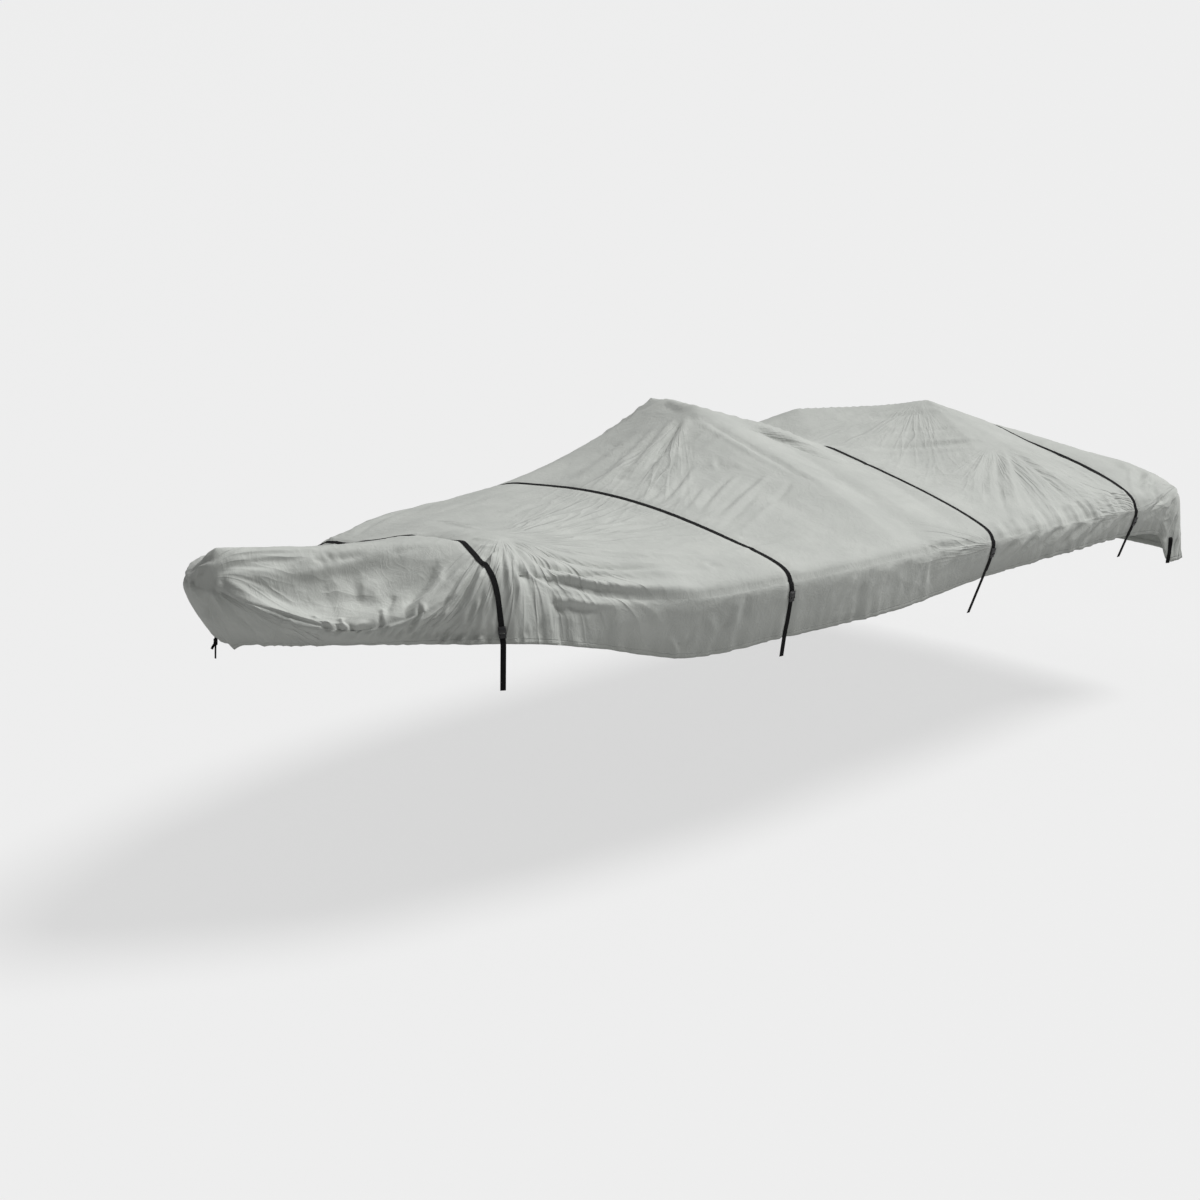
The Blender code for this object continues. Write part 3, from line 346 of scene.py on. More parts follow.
# Creases and soft folds seen on the cloth: rise and width in millimetres, then x and q in
# thousandths of each point that the line runs through; a negative rise is a trough.
CREASES = (
    (-45, 110, -2300, -860, -2150, -870, -2000, -880),
    (14, 34, 2240, -860, 2310, -820, 2400, -760),
    (14, 30, 2300, -980, 2370, -920, 2450, -860),
    (12, 60, -2080, 550, -2150, 300, -2200, 50, -2220, -100),
    (-28, 62, -2200, -20, -2250, -250, -2280, -400, -2320, -600),
    (-45.9, 95, -3291, -153, -3045, -316, -2796, -453, -2581, -533, -2334, -584),
    (12, 50, -3347, -86, -3263, -225, -3217, -312, -3109, -460, -3021, -490),
    (24.3, 38, -3305, -110, -3095, -219, -2853, -300, -2603, -391, -2441, -463),
    (-18.9, 45, -3139, -206, -2906, -307, -2695, -389, -2520, -463),
    (12.8, 16, -3343, -83, -3309, -165, -3274, -245),
    (11.2, 14, -3302, -116, -3265, -171, -3210, -241),
    (-11.2, 14, -3337, -104, -3315, -180, -3280, -252),
    (-10.4, 13, -3347, -103, -3375, -149, -3415, -171, -3460, -184, -3517, -189),
    (10.4, 13, -3354, -91, -3412, -129, -3475, -141, -3527, -146),
    (-9.6, 12, -3354, -134, -3401, -175, -3458, -197, -3508, -206),
    (10.4, 13, -3350, -119, -3378, -164, -3426, -188, -3482, -198),
    (-11.2, 14, -3371, -90, -3453, -90, -3523, -83, -3588, -79),
    (11.2, 14, -3370, -83, -3450, -81, -3535, -64, -3609, -51),
    (-10.5, 14, -3369, -75, -3452, -67, -3534, -39, -3587, -36),
    (9, 16, -3059, 558, -3453, -50, -3526, -22, -3571, -16),
    (-9, 16, -3094, 518, -3440, -28, -3510, -2, -3555, 19),
    (7.5, 14, -3352, 59, -3427, -3, -3489, 16),
    (-9, 12, -3418, -176, -3458, -197, -3516, -209),
    (7.5, 12, -3404, -214, -3431, -241, -3473, -259),
    (-9, 12, -3317, -92, -3233, -130, -3102, -183, -2942, -232),
    (7.5, 12, -3314, -99, -3206, -155, -3085, -206, -2938, -248),
    (-9, 12, -3293, -100, -3173, -137, -3038, -192, -2958, -230),
    (7.5, 12, -3274, -99, -3146, -138, -3017, -187, -2884, -229),
    (-7.5, 12, -3244, -100, -3123, -132, -2996, -182, -2876, -220),
    (7.5, 12, -3206, -100, -3084, -138, -2945, -191),
    (-9.6, 12, -3253, 233, -3315, -47, -3205, -79, -3136, -79),
    (11.2, 14, -3321, 107, -3318, -58, -3210, -94, -3142, -98),
    (-6, 12, -2926, -232, -2889, -266, -2868, -288),
    (9, 14, -2862, -256, -2827, -270, -2783, -283, -2697, -316),
    (-9, 12, -2840, -286, -2771, -314, -2697, -339),
    (-7.5, 14, -2638, -382, -2545, -417, -2462, -452),
    (18.9, 40, -2823, -395, -2761, -445, -2769, -507),
    (-11.2, 14, -2782, -516, -2823, -549, -2850, -617, -2853, -759),
    (12.8, 16, -2769, -518, -2816, -557, -2841, -628),
    (-10.4, 13, -2657, -619, -2702, -667, -2735, -753, -2769, -823),
    (12.8, 16, -2638, -629, -2687, -688, -2717, -772, -2755, -843),
    (-18, 22, -2465, -513, -2598, -550, -2714, -587, -2768, -719),
    (18, 22, -2457, -552, -2583, -600, -2693, -631, -2763, -745),
    (-11.2, 14, -2554, -684, -2633, -747, -2702, -801, -2764, -837),
    (11.2, 14, -2577, -742, -2620, -808, -2674, -860),
    (-12, 16, -2694, -496, -2756, -527, -2803, -566),
    (9.6, 12, -3027, -375, -3036, -422, -3033, -482),
    (-9.6, 12, -3026, -392, -3038, -433, -3028, -483),
    (9.6, 12, -3013, -441, -3015, -462, -3027, -604),
    (-9.6, 12, -2998, -457, -2993, -518, -3019, -637),
    (9.6, 12, -2944, -442, -2957, -483, -2957, -579),
    (-9.6, 12, -2942, -458, -2950, -496, -2947, -543),
    (9.6, 12, -2947, -511, -2903, -518, -2863, -546),
    (-9.6, 12, -2941, -606, -2904, -551, -2865, -597),
    (9.6, 12, -2970, -552, -2939, -548, -2927, -665),
    (-9, 14, -3285, -439, -3153, -516, -3085, -586),
    (-21.6, 22, -2215, -608, -2354, -668, -2502, -740, -2556, -862),
    (20.2, 20, -2213, -620, -2374, -721, -2479, -783, -2530, -857),
    (-12.8, 16, -2291, -630, -2452, -648, -2590, -689, -2648, -742),
    (12.8, 16, -2301, -661, -2436, -689, -2564, -724, -2620, -812),
    (-9.6, 12, -2391, -864, -2411, -911, -2422, -956),
    (9.6, 12, -2380, -864, -2398, -913, -2411, -963),
    (-9.6, 12, -2427, -827, -2458, -871, -2481, -921),
    (9.6, 12, -2419, -842, -2448, -886, -2466, -941),
    (-9.6, 12, -2468, -826, -2497, -873, -2504, -929),
    (9.6, 12, -2455, -838, -2484, -884, -2491, -941),
    (-13.6, 17, -2156, -578, -2303, -761, -2347, -879, -2362, -968),
    (13.6, 17, -2145, -585, -2288, -771, -2329, -896, -2349, -987),
    (-13.6, 17, -2132, -581, -2272, -780, -2313, -896, -2334, -979),
    (13.6, 17, -2120, -581, -2256, -789, -2290, -906, -2313, -991),
    (-13.6, 17, -2117, -592, -2231, -796, -2264, -917),
    (13.6, 17, -2122, -606, -2210, -802, -2163, -902, -2125, -954),
    (-13.6, 17, -2112, -606, -2169, -784, -2132, -896, -2109, -946),
    (9.6, 12, -2135, -845, -2132, -903, -2138, -953),
    (-9, 12, -2117, -842, -2114, -903, -2122, -946),
    (9.6, 12, -2135, -954, -2094, -1004, -2045, -1064),
    (-9.6, 12, -2156, -975, -2107, -1023, -2065, -1065),
    (11.2, 14, -2104, -592, -2042, -659, -1949, -707),
    (-29.7, 26, -2081, -623, -1944, -715, -1730, -798, -1469, -866, -1159, -960),
    (18.9, 24, -1874, -641, -1590, -723, -1296, -829, -1037, -914),
    (-27, 22, -2130, -675, -2027, -807, -1846, -852, -1681, -890),
    (21.6, 26, -1936, -816, -1735, -869, -1474, -934, -1205, -1003),
    (27, 22, -2120, -849, -1970, -891, -1745, -953, -1489, -1018, -1262, -1061),
    (-18.9, 22, -2101, -893, -1923, -927, -1704, -984, -1497, -1036),
    (14.4, 18, -2130, -976, -1965, -994, -1761, -1015),
    (-11.2, 14, -2135, -998, -2029, -1022, -1905, -1025),
    (7.5, 12, -1978, -904, -1944, -930, -1918, -942),
    (9.6, 12, -1254, -907, -1260, -953, -1216, -978),
    (-9, 12, -1221, -902, -1203, -950, -1164, -967),
    (9, 12, -2140, -1029, -2089, -1048, -2045, -1064),
    (-9.6, 12, -2466, -971, -2484, -979, -2491, -996),
    (9.6, 12, -2450, -980, -2468, -987, -2479, -1002),
    (-9.6, 12, -2497, -955, -2510, -967, -2515, -986),
    (-9.6, 12, -2533, -934, -2551, -950, -2564, -964),
    (9.6, 12, -2520, -941, -2535, -958, -2548, -971),
    (-9.6, 12, -2424, -991, -2437, -1005, -2448, -1015),
    (-9.6, 12, -2587, -901, -2610, -924, -2627, -933),
    (9, 12, -2572, -910, -2595, -932, -2610, -941),
    (-9, 12, -2277, -1035, -2316, -1046, -2344, -1057),
    (9, 12, -2254, -1037, -2295, -1050, -2324, -1065),
    (-7.5, 12, -2182, -1032, -2231, -1057, -2277, -1078),
    (6, 14, -2094, -1104, -2032, -1148, -1959, -1181),
    (9, 16, -1180, -1119, -1211, -1179, -1192, -1270),
    (-9, 16, -1130, -1114, -1151, -1181, -1123, -1276),
    (7.5, 12, -1585, -1184, -1531, -1238, -1515, -1273),
    (-7.5, 12, -1541, -1183, -1497, -1234, -1479, -1280),
    (7.5, 12, -1391, -1138, -1329, -1195, -1327, -1240),
    (-7.5, 12, -1433, -1170, -1456, -1217, -1469, -1274),
    (7.5, 14, -1301, -1203, -1324, -1248, -1324, -1300),
    (-7.5, 12, -1231, -1191, -1262, -1213, -1303, -1236),
    (6, 12, -1660, -1050, -1637, -1101, -1611, -1140),
    (12, 16, -1802, -190, -1477, -145, -1164, -106),
    (-9.6, 12, -1802, -260, -1538, -263, -1223, -222, -952, -179),
    (-7.5, 12, -1727, -284, -1479, -340, -1159, -297, -885, -282),
    (7.5, 12, -1761, -328, -1510, -374, -1221, -360, -945, -338),
    (-7.5, 12, -1660, -389, -1391, -458, -1128, -472, -908, -497),
    (6, 12, -1709, -441, -1433, -499, -1167, -547, -960, -582),
    (-6, 12, -1714, -500, -1430, -564, -1146, -665, -973, -793),
    (6, 12, -1766, -553, -1471, -606, -1195, -737, -999, -880),
    (-6, 12, -1732, -603, -1438, -680, -1205, -851),
    (9, 14, -1804, 215, -1916, -83, -2045, -376),
    (-7.5, 12, -1792, 319, -1812, 119, -1885, -159),
    (-9.6, 12, -2228, -475, -2200, -526, -2156, -557),
    (9.6, 12, -2275, -499, -2220, -549, -2169, -570),
    (-9, 12, -2280, -556, -2238, -581, -2179, -584),
    (9, 12, -2293, -583, -2241, -599, -2187, -596),
    (-7.5, 14, -1639, 466, -1477, 452, -1288, 494),
    (6, 14, -1608, 42, -1430, 104, -1249, 180),
    (-7.5, 12, -1510, 76, -1327, 98, -1138, 153),
    (-21.6, 20, -147, 241, -338, 154, -531, 70, -676, 18),
    (14.4, 18, -147, 215, -325, 120, -524, 33, -691, -45),
    (13.5, 18, -131, 275, -345, 215, -562, 133, -769, 43),
    (-11.2, 14, -185, 294, -444, 223, -666, 143, -862, 63),
    (10.5, 14, -190, 345, -482, 254, -728, 184, -888, 112),
    (-12, 16, -227, 370, -518, 290, -771, 242, -950, 199),
    (9, 14, -193, 431, -495, 372, -761, 321, -937, 301),
    (-9, 14, -188, 497, -498, 439, -769, 399, -934, 389),
    (-9.6, 12, -190, 22, -332, 58, -495, 85, -666, 76),
    (9, 12, -172, 12, -330, 33, -500, 54, -660, 41),
    (-9, 12, -175, -37, -312, -3, -459, 24),
    (7.5, 12, -185, -69, -325, -60, -431, -48),
    (-9.6, 12, -229, -398, -433, -440, -655, -511, -862, -584),
    (9.6, 12, -227, -423, -428, -472, -658, -547, -852, -613),
    (-9.6, 12, -345, -304, -518, -353, -702, -424, -864, -513),
    (9, 12, -348, -331, -518, -378, -699, -454, -854, -535),
    (-9.6, 12, -575, -293, -730, -359, -867, -419),
    (9, 12, -567, -312, -722, -380, -859, -440),
    (-11.2, 14, -449, -98, -614, -179, -792, -252, -911, -284),
    (10.4, 13, -451, -128, -614, -211, -787, -291, -916, -331),
    (-9, 12, -180, -514, -307, -569, -472, -621),
    (-7.5, 14, -361, -477, -555, -552, -753, -626, -888, -671),
    (6, 14, -335, -581, -521, -639, -707, -699, -875, -752),
    (-9, 12, -720, -155, -839, -201, -924, -216),
    (-7.5, 12, -751, -294, -846, -329, -926, -353),
    (9, 12, -335, -149, -402, -200, -402, -267),
    (-7.5, 12, -320, -164, -379, -206, -376, -261),
    (7.5, 12, -493, -16, -534, -77, -586, -83),
    (-7.5, 12, -707, -61, -766, -134, -720, -155),
    (7.5, 12, -312, -241, -294, -292, -299, -321),
    (-6, 12, -536, -258, -423, -244, -322, -276, -214, -340),
    (7.5, 12, -676, 193, -658, 124, -715, 41),
    (-7.5, 12, -761, 136, -769, 43, -728, 14),
    (-10.5, 14, -136, 194, -167, 169, -193, 137),
    (-11.2, 14, -131, 192, -139, -24, -121, -285, -97, -533, -85, -705),
    (9, 16, -157, 154, -170, -52, -159, -306, -144, -544),
    (-29.7, 26, -43, 1, 212, -33, 280, -238, 416, -459),
    (18, 20, 70, 166, 243, 35, 342, -156, 600, -304),
    (-12.8, 16, 254, 130, 367, -63, 525, -139, 641, -280),
    (11.2, 14, 212, 152, 424, 52, 698, -1),
    (-7.5, 12, -33, -342, 91, -478, 192, -554),
    (6, 12, -100, -347, -66, -533, 24, -626),
    (-7.5, 14, 135, 718, -82, 391, -126, 266),
    (6, 16, 6, 537, -61, 355, -126, 211),
    (-6, 12, -841, -721, -784, -797, -622, -831, -402, -819),
    (6, 12, -999, -862, -859, -888, -655, -909, -402, -920),
    (-6, 12, -1283, -300, -1146, -406, -960, -519),
    (6, 12, -1456, -343, -1303, -478, -1092, -563, -968, -653),
    (-14.4, 18, 1499, -480, 1251, -345, 1005, -210, 853, -66),
    (12, 16, 1421, -521, 1171, -375, 936, -262, 760, -174),
    (-9, 12, 925, 176, 1183, 102, 1455, -55, 1561, -55),
    (7.5, 12, 861, 140, 1150, 39, 1431, -103),
    (-9, 12, 892, 33, 1163, -83, 1385, -241, 1561, -371),
    (7.5, 12, 876, -14, 1140, -133, 1385, -308),
    (-7.5, 12, 1178, 98, 1354, 18, 1501, -118),
    (-7.5, 12, 1540, -3, 1594, -144, 1752, -210),
    (7.5, 12, 1633, -45, 1754, -121, 1904, -217),
    (-7.5, 12, 1054, 235, 1251, 156, 1486, 3),
    (6, 12, 972, 233, 1204, 154, 1439, 3),
    (-6, 12, 336, -355, 711, -344, 907, -480),
    (12, 22, 1524, -536, 1338, -727, 1137, -906, 995, -1065),
    (-10.5, 16, 1439, -581, 1204, -754, 985, -953, 835, -1131),
    (-9, 14, 1480, -601, 1318, -821, 1194, -989, 1109, -1092),
    (9, 14, 1514, -599, 1408, -805, 1320, -976, 1238, -1083),
    (-9, 13, 1535, -617, 1499, -803, 1447, -996, 1388, -1102),
    (7.5, 12, 1568, -618, 1553, -796, 1537, -979, 1506, -1096),
    (-7.5, 12, 1612, -591, 1692, -740, 1690, -948, 1638, -1082),
    (7.5, 12, 1661, -573, 1858, -677, 1865, -899, 1827, -1053),
    (-7.5, 12, 1863, -479, 1978, -626, 1964, -877, 1920, -1035),
    (7.5, 12, 1408, -548, 1153, -644, 889, -780),
    (-7.5, 14, 1408, -571, 1129, -722, 912, -902),
    (7.5, 12, 1400, -394, 1261, -305, 1088, -192),
    (12.8, 16, 721, -1056, 708, -1132, 719, -1172),
    (-12.8, 16, 825, -1042, 783, -1127, 791, -1175),
    (12.8, 16, 923, -1047, 876, -1121, 866, -1178),
    (-12.8, 16, 1005, -1048, 959, -1135, 961, -1206),
    (12.8, 16, 1083, -1050, 1041, -1135, 1029, -1211),
    (-12.8, 16, 1178, -1030, 1137, -1129, 1147, -1213),
    (12.8, 16, 1284, -1031, 1235, -1127, 1261, -1223),
    (-12.8, 16, 1354, -1046, 1318, -1123, 1307, -1179),
    (12.8, 16, 1421, -1045, 1395, -1125, 1411, -1200),
    (-12.8, 16, 1491, -1043, 1483, -1116, 1496, -1182),
    (12.8, 16, 1573, -1047, 1571, -1121, 1589, -1189),
    (-12.8, 16, 1666, -1046, 1656, -1114, 1674, -1180),
    (12.8, 16, 1796, -1006, 1754, -1101, 1777, -1174),
    (-12.8, 16, 1878, -1001, 1852, -1089, 1868, -1154),
    (12.8, 16, 1967, -1002, 1938, -1087, 1969, -1140),
    (-12, 18, 1243, -1169, 1111, -1259, 1016, -1345),
    (12, 18, 1331, -1177, 1194, -1275, 1091, -1373),
    (-12, 18, 1447, -1174, 1320, -1283, 1176, -1383),
    (12, 18, 1540, -1170, 1411, -1280, 1266, -1384),
    (-12, 18, 1692, -1157, 1537, -1283, 1395, -1371),
    (12, 18, 1816, -1147, 1685, -1265, 1545, -1372),
    (-12, 18, 1914, -1147, 1796, -1284, 1708, -1370),
    (12, 18, 1085, -1179, 964, -1267, 853, -1345),
    (-12, 18, 1016, -1208, 907, -1281, 812, -1346),
    (12, 18, 907, -1207, 825, -1282, 724, -1341),
    (-12, 18, 819, -1206, 737, -1275, 662, -1337),
    (-7.5, 18, 502, -1134, 313, -1244, 184, -1337),
    (7.5, 18, 396, -1167, 238, -1258, 101, -1333),
    (-7.5, 18, 241, -1163, 143, -1268, 86, -1353),
    (7.5, 18, 86, -1159, 6, -1269, -66, -1361),
    (-7.5, 18, -38, -1180, -147, -1268, -255, -1360),
    (7.5, 18, -188, -1181, -294, -1268, -374, -1361),
    (-7.5, 18, -317, -1185, -415, -1267, -495, -1349),
    (7.5, 18, -454, -1194, -531, -1267, -606, -1348),
    (9.6, 12, 94, -1123, 96, -1157, 101, -1186),
    (-9.6, 12, 112, -1127, 127, -1159, 127, -1194),
    (9, 12, 91, -1198, 76, -1279, 122, -1372),
    (-7.5, 12, 132, -1203, 127, -1288, 163, -1369),
    (9, 12, 114, -1129, 293, -1142, 489, -1147),
    (-7.5, 12, 132, -1150, 318, -1161, 497, -1166),
    (-18.9, 21, 2429, -1108, 2333, -1196, 2240, -1353),
    (6, 21, 2427, -1150, 2350, -1226, 2295, -1361),
    (-18.9, 21, 2437, -1184, 2373, -1250, 2319, -1351),
    (6, 21, 2388, -1095, 2227, -1199, 2141, -1303),
    (-18.9, 21, 2311, -1091, 2174, -1176, 2077, -1276),
    (6, 21, 2441, -1229, 2397, -1275, 2345, -1343),
    (-18.9, 21, 2443, -1256, 2413, -1303, 2375, -1344),
    (9.6, 12, 2419, -799, 2134, -969, 2003, -1095),
    (-9.6, 12, 2408, -871, 2160, -1015, 2083, -1112),
    (9.6, 12, 2443, -899, 2207, -1028, 2129, -1125),
    (-9.6, 12, 2427, -954, 2255, -1044, 2210, -1164),
    (9.6, 12, 2436, -999, 2262, -1087, 2278, -1183),
    (-9.6, 12, -3005, -464, -3136, -605),
    (-9.6, 12, -2985, -503, -3056, -620),
    (-9.5, 12, -2970, -485, -3036, -628),
    (-9.6, 12, -2937, -499, -3003, -646),
    (-9.3, 12, -2929, -522, -2984, -657),
    (-9.6, 12, -2914, -551, -2968, -668),
    (-9, 12, -2883, -542, -2936, -691),
    (-9.6, 12, -2871, -552, -2920, -703),
    (-8.8, 12, -2853, -623, -2896, -722),
    (-9.6, 12, -2825, -638, -2867, -746),
    (-8.5, 12, -2812, -602, -2855, -758),
    (-9.6, 12, -2786, -669, -2824, -782),
    (-8.3, 12, -2764, -732, -2799, -801),
    (-9.6, 12, -2750, -714, -2784, -812),
    (-8.1, 12, -2720, -723, -2750, -837),
    (-9.6, 12, -2701, -777, -2731, -849),
    (-7.9, 12, -2687, -802, -2714, -861),
    (-9.6, 12, -2652, -798, -2677, -884),
    (-7.7, 12, -2640, -808, -2664, -890),
    (-9.6, 12, -2618, -855, -2639, -905),
    (-7.5, 12, -2590, -871, -2608, -923),
    (-9.6, 12, -2579, -853, -2595, -930),
    (-7.4, 12, -2551, -886, -2566, -944),
    (-9.6, 12, -2530, -919, -2543, -956),
    (-7.2, 12, -2517, -915, -2530, -963),
    (-9.6, 12, -2486, -922, -2497, -980),
    (-7.1, 12, -2471, -945, -2481, -987),
    (-9.6, 12, -2453, -965, -2463, -996),
    (-7, 12, -2424, -964, -2432, -1010),
)


def ease(t):
    """Smooth step: 0 below 0, 1 above 1, with level ends."""
    t = np.clip(t, 0.0, 1.0)
    return t * t * (3.0 - 2.0 * t)


def side_value(x, column):
    """Value of one column of SIDE at x: a cubic through the stations, level beyond them."""
    xs = SIDE[:, 0]
    ys = SIDE[:, SIDE_COLUMNS.index(column)]
    slope = np.gradient(ys, xs)
    x = np.clip(x, xs[0], xs[-1])
    i = np.clip(np.searchsorted(xs, x) - 1, 0, len(xs) - 2)
    step = xs[i + 1] - xs[i]
    s = (x - xs[i]) / step
    start = (2 * s**3 - 3 * s**2 + 1) * ys[i] + (s**3 - 2 * s**2 + s) * step * slope[i]
    end = (3 * s**2 - 2 * s**3) * ys[i + 1] + (s**3 - s**2) * step * slope[i + 1]
    return start + end


# ---------------------------------------------------------------- the sheet's form
def half_breadth(x):
    """Half the width of the knuckle outline: a blunt bow, a slight taper, square corners aft."""
    nose = np.clip((X_WIDE - x) / (X_WIDE - X_BOW), 0.0, 1.0)
    tail = np.clip((x - X_WIDE) / (X_STERN - X_WIDE), 0.0, 1.0)
    share, start, length = TAPER
    taper = 1.0 - share * np.clip((x - start) / length, 0.0, 1.0) ** 2
    share, start, length = SHOULDER
    shoulder = 1.0 - share * np.clip((start - x) / length, 0.0, 1.0)
    bow = (1.0 - nose**2) ** BOW_FULLNESS
    stern = (1.0 - tail**STERN_SQUARE[0]) ** STERN_SQUARE[1]
    return HALF_BEAM * taper * shoulder * bow * stern


def end_station(y, at_bow):
    """x of the outline's rounded end at a half width y: the half breadth read backwards."""
    first, last = (X_BOW, X_FORE) if at_bow else (X_STERN, X_AFT)
    stations = np.linspace(first, last, END_STEPS)
    return np.interp(np.abs(y), half_breadth(stations), stations)


def knuckle_height(x, across, near_stern):
    """Port and starboard knuckle heights blended across, and the crown of the stern edge."""
    side = ease((across + 1.0) / 2.0)
    height = side_value(x, "port_knuckle") * (1.0 - side) + side_value(x, "starboard_knuckle") * side
    return height + STERN_CROWN * (1.0 - across**2) * near_stern


def crest_height(x, y, base, crest):
    """Lift over the base that one crest gives: full on its line, falling to the outline."""
    half = np.maximum(half_breadth(x), LEAST_HALF)
    line = np.array(crest["line"])
    lift = np.zeros_like(base)
    for start, end in zip(line[:-1], line[1:]):
        run = (end - start)[:2]
        s = np.clip(((x - start[0]) * run[0] + (y - start[1]) * run[1]) / (run @ run), 0.0, 1.0)
        cx, cy, cz = (start[k] + s * (end[k] - start[k]) for k in range(3))
        reach_y = np.maximum(np.where(y < cy, cy + half, half - cy), LEAST_HALF)
        reach_x = np.where(x < cx, crest["fore"], crest["aft"])
        away = np.hypot(np.hypot((x - cx) / reach_x, (y - cy) / reach_y), crest["rounded"])
        away = (away - crest["rounded"]) / (np.hypot(1.0, crest["rounded"]) - crest["rounded"])
        to_port = ease((cy - y) / RIDGE_SOFT) * np.clip(1.0 - np.abs(x - cx) / RIDGE_NEAR, 0.0, 1.0)
        power = crest["power"] * (1.0 - to_port) + crest["port_power"] * to_port
        lift = np.maximum(lift, (cz - base) * np.clip(1.0 - away, 0.0, 1.0) ** power)
    return lift


def top_height(x, y, across, near_bow, near_stern):
    """Height of the top: knuckle, crown, and the largest crest with a soft change between."""
    inside = (1.0 - across**2) * (1.0 - near_bow**2) * (1.0 - near_stern**2)
    base = knuckle_height(x, across, near_stern)
    base = base + side_value(x, "crown") * np.maximum(inside, 0.0) ** CROWN_POWER
    lifts = sum(crest_height(x, y, base, crest) ** CREST_BLEND for crest in CRESTS)
    return base + lifts ** (1.0 / CREST_BLEND)


def sheet_frame(along, across):
    """Smooth sheet at (along, across), before its folds.

    along runs -1..0 down the bow skirt, 0..1 over the top and 1..2 down the stern flap;
    across runs -2..-1 up the port skirt, -1..1 over the top and 1..2 down to starboard.
    Returns the points and the unrolled coordinates that the folds are given in.
    """
    fore_drop = np.maximum(-along, 0.0)
    aft_drop = np.maximum(along - 1.0, 0.0)
    side_drop = np.maximum(np.abs(across) - 1.0, 0.0)
    end_drop = fore_drop + aft_drop
    drop = np.maximum(end_drop, side_drop)

    station = X_FORE + np.clip(along, 0.0, 1.0) * LENGTH
    fan = CORNER_SLIDE[0] * ease(1.0 - (station - X_FORE) / CORNER_REACH)
    fan = fan - CORNER_SLIDE[1] * ease(1.0 - (X_AFT - station) / CORNER_REACH)
    station = station + np.maximum(side_drop - end_drop, 0.0) * fan
    share = np.clip(across, -1.0, 1.0)
    fan = ease(1.0 - (1.0 - np.abs(share)) / END_FAN) * np.where(aft_drop > 0.0, END_SLIDE[1], END_SLIDE[0])
    share = share - np.sign(share) * np.maximum(end_drop - side_drop, 0.0) * fan

    half = half_breadth(station)
    y = share * half
    bow_shift = end_station(share * half_breadth(X_FORE), True) - X_FORE
    stern_shift = end_station(share * half_breadth(X_AFT), False) - X_AFT
    x = station + bow_shift * ease(1.0 - (station - X_FORE) / BOW_BEND)
    x = x + stern_shift * ease(1.0 - (X_AFT - station) / STERN_BEND)

    near_bow = ease(1.0 - (station - X_FORE) / END_BLEND)
    near_stern = ease(1.0 - (X_AFT - station) / END_BLEND)
    knuckle = knuckle_height(x, share, near_stern)
    depth = knuckle - side_value(x, "hem")
    z = np.where(drop > 0.0, knuckle - drop * depth, top_height(x, y, share, near_bow, near_stern))

    inward_x = np.clip(x, X_FORE + BOW_BEND, X_AFT - STERN_TUCK) - x
    inward = np.hypot(inward_x, y) + LEAST_WAY
    from_edge = np.minimum((1.0 - np.abs(share)) * half, np.minimum(station - X_FORE, X_AFT - station))
    from_edge = np.where(drop > 0.0, drop * depth, from_edge)
    radius = side_value(x, "round_off")
    rounding = radius * np.log1p(np.exp(-np.abs(from_edge) / radius))
    shift = side_value(x, "tuck") * drop**TUCK_POWER + rounding
    unrolled_x = x + (aft_drop - fore_drop) * SKIRT_UNROLLED
    unrolled_q = y + np.sign(across) * side_drop * SKIRT_UNROLLED
    points = np.stack((x + inward_x / inward * shift, y - y / inward * shift,
                       z - rounding - GROUND_TO_ORIGIN), axis=-1)
    return points, unrolled_x, unrolled_q


# ---------------------------------------------------------------- fine creases of the sheet
def lattice_noise(u, v, seed):
    """Smooth noise, about -0.7 to 0.7: at each lattice corner a seeded slope, blended by ease."""
    turn = np.random.default_rng(seed).uniform(0.0, 2.0 * np.pi, (NOISE_PERIOD, NOISE_PERIOD))
    iu, iv = np.floor(u).astype(int), np.floor(v).astype(int)
    fu, fv = u - iu, v - iv
    total = np.zeros_like(u)
    for du, dv in ((0, 0), (1, 0), (0, 1), (1, 1)):
        slope = turn[(iu + du) % NOISE_PERIOD, (iv + dv) % NOISE_PERIOD]
        value = np.cos(slope) * (fu - du) + np.sin(slope) * (fv - dv)
        weight = (ease(fu) if du else 1.0 - ease(fu)) * (ease(fv) if dv else 1.0 - ease(fv))
        total += weight * value
    return total


def fan_creases():
    """Creases of every fan: straight lines from near its point, evenly turned, seeded uneven."""
    rows = []
    for number, (x, q, start, end, count, near, far, rise, width) in enumerate(FANS):
        draw = np.random.default_rng(FAN_SEED + number)
        share = (np.arange(count) + draw.uniform(*FAN_TURNS, count)) / count
        turns = np.radians(start + (end - start) * share)
        inner = near * draw.uniform(*FAN_INNER, count)
        outer = inner + (far - near) * draw.uniform(*FAN_LENGTH, count)
        lift = rise * draw.uniform(*FAN_RISE, count) * np.where(draw.random(count) < FAN_RIDGES, 1.0, -1.0)
        wide = width * draw.uniform(*FAN_WIDTH, count)
        way = np.stack((np.cos(turns), np.sin(turns)), -1)
        lines = (x, q) + np.stack((inner, outer), -1)[..., None] * way[:, None]
        rows.extend(zip(lift, wide, lines))
    return rows


def smooth_line(points):
    """The polynomial through two to five points, read at even steps, as a fine polyline."""
    place = np.linspace(0.0, 1.0, len(points))
    reading = np.linspace(0.0, 1.0, LINE_STEPS)
    ways = [np.polyfit(place, points[:, k], len(points) - 1) for k in (0, 1)]
    return np.stack([np.polyval(way, reading) for way in ways], -1)


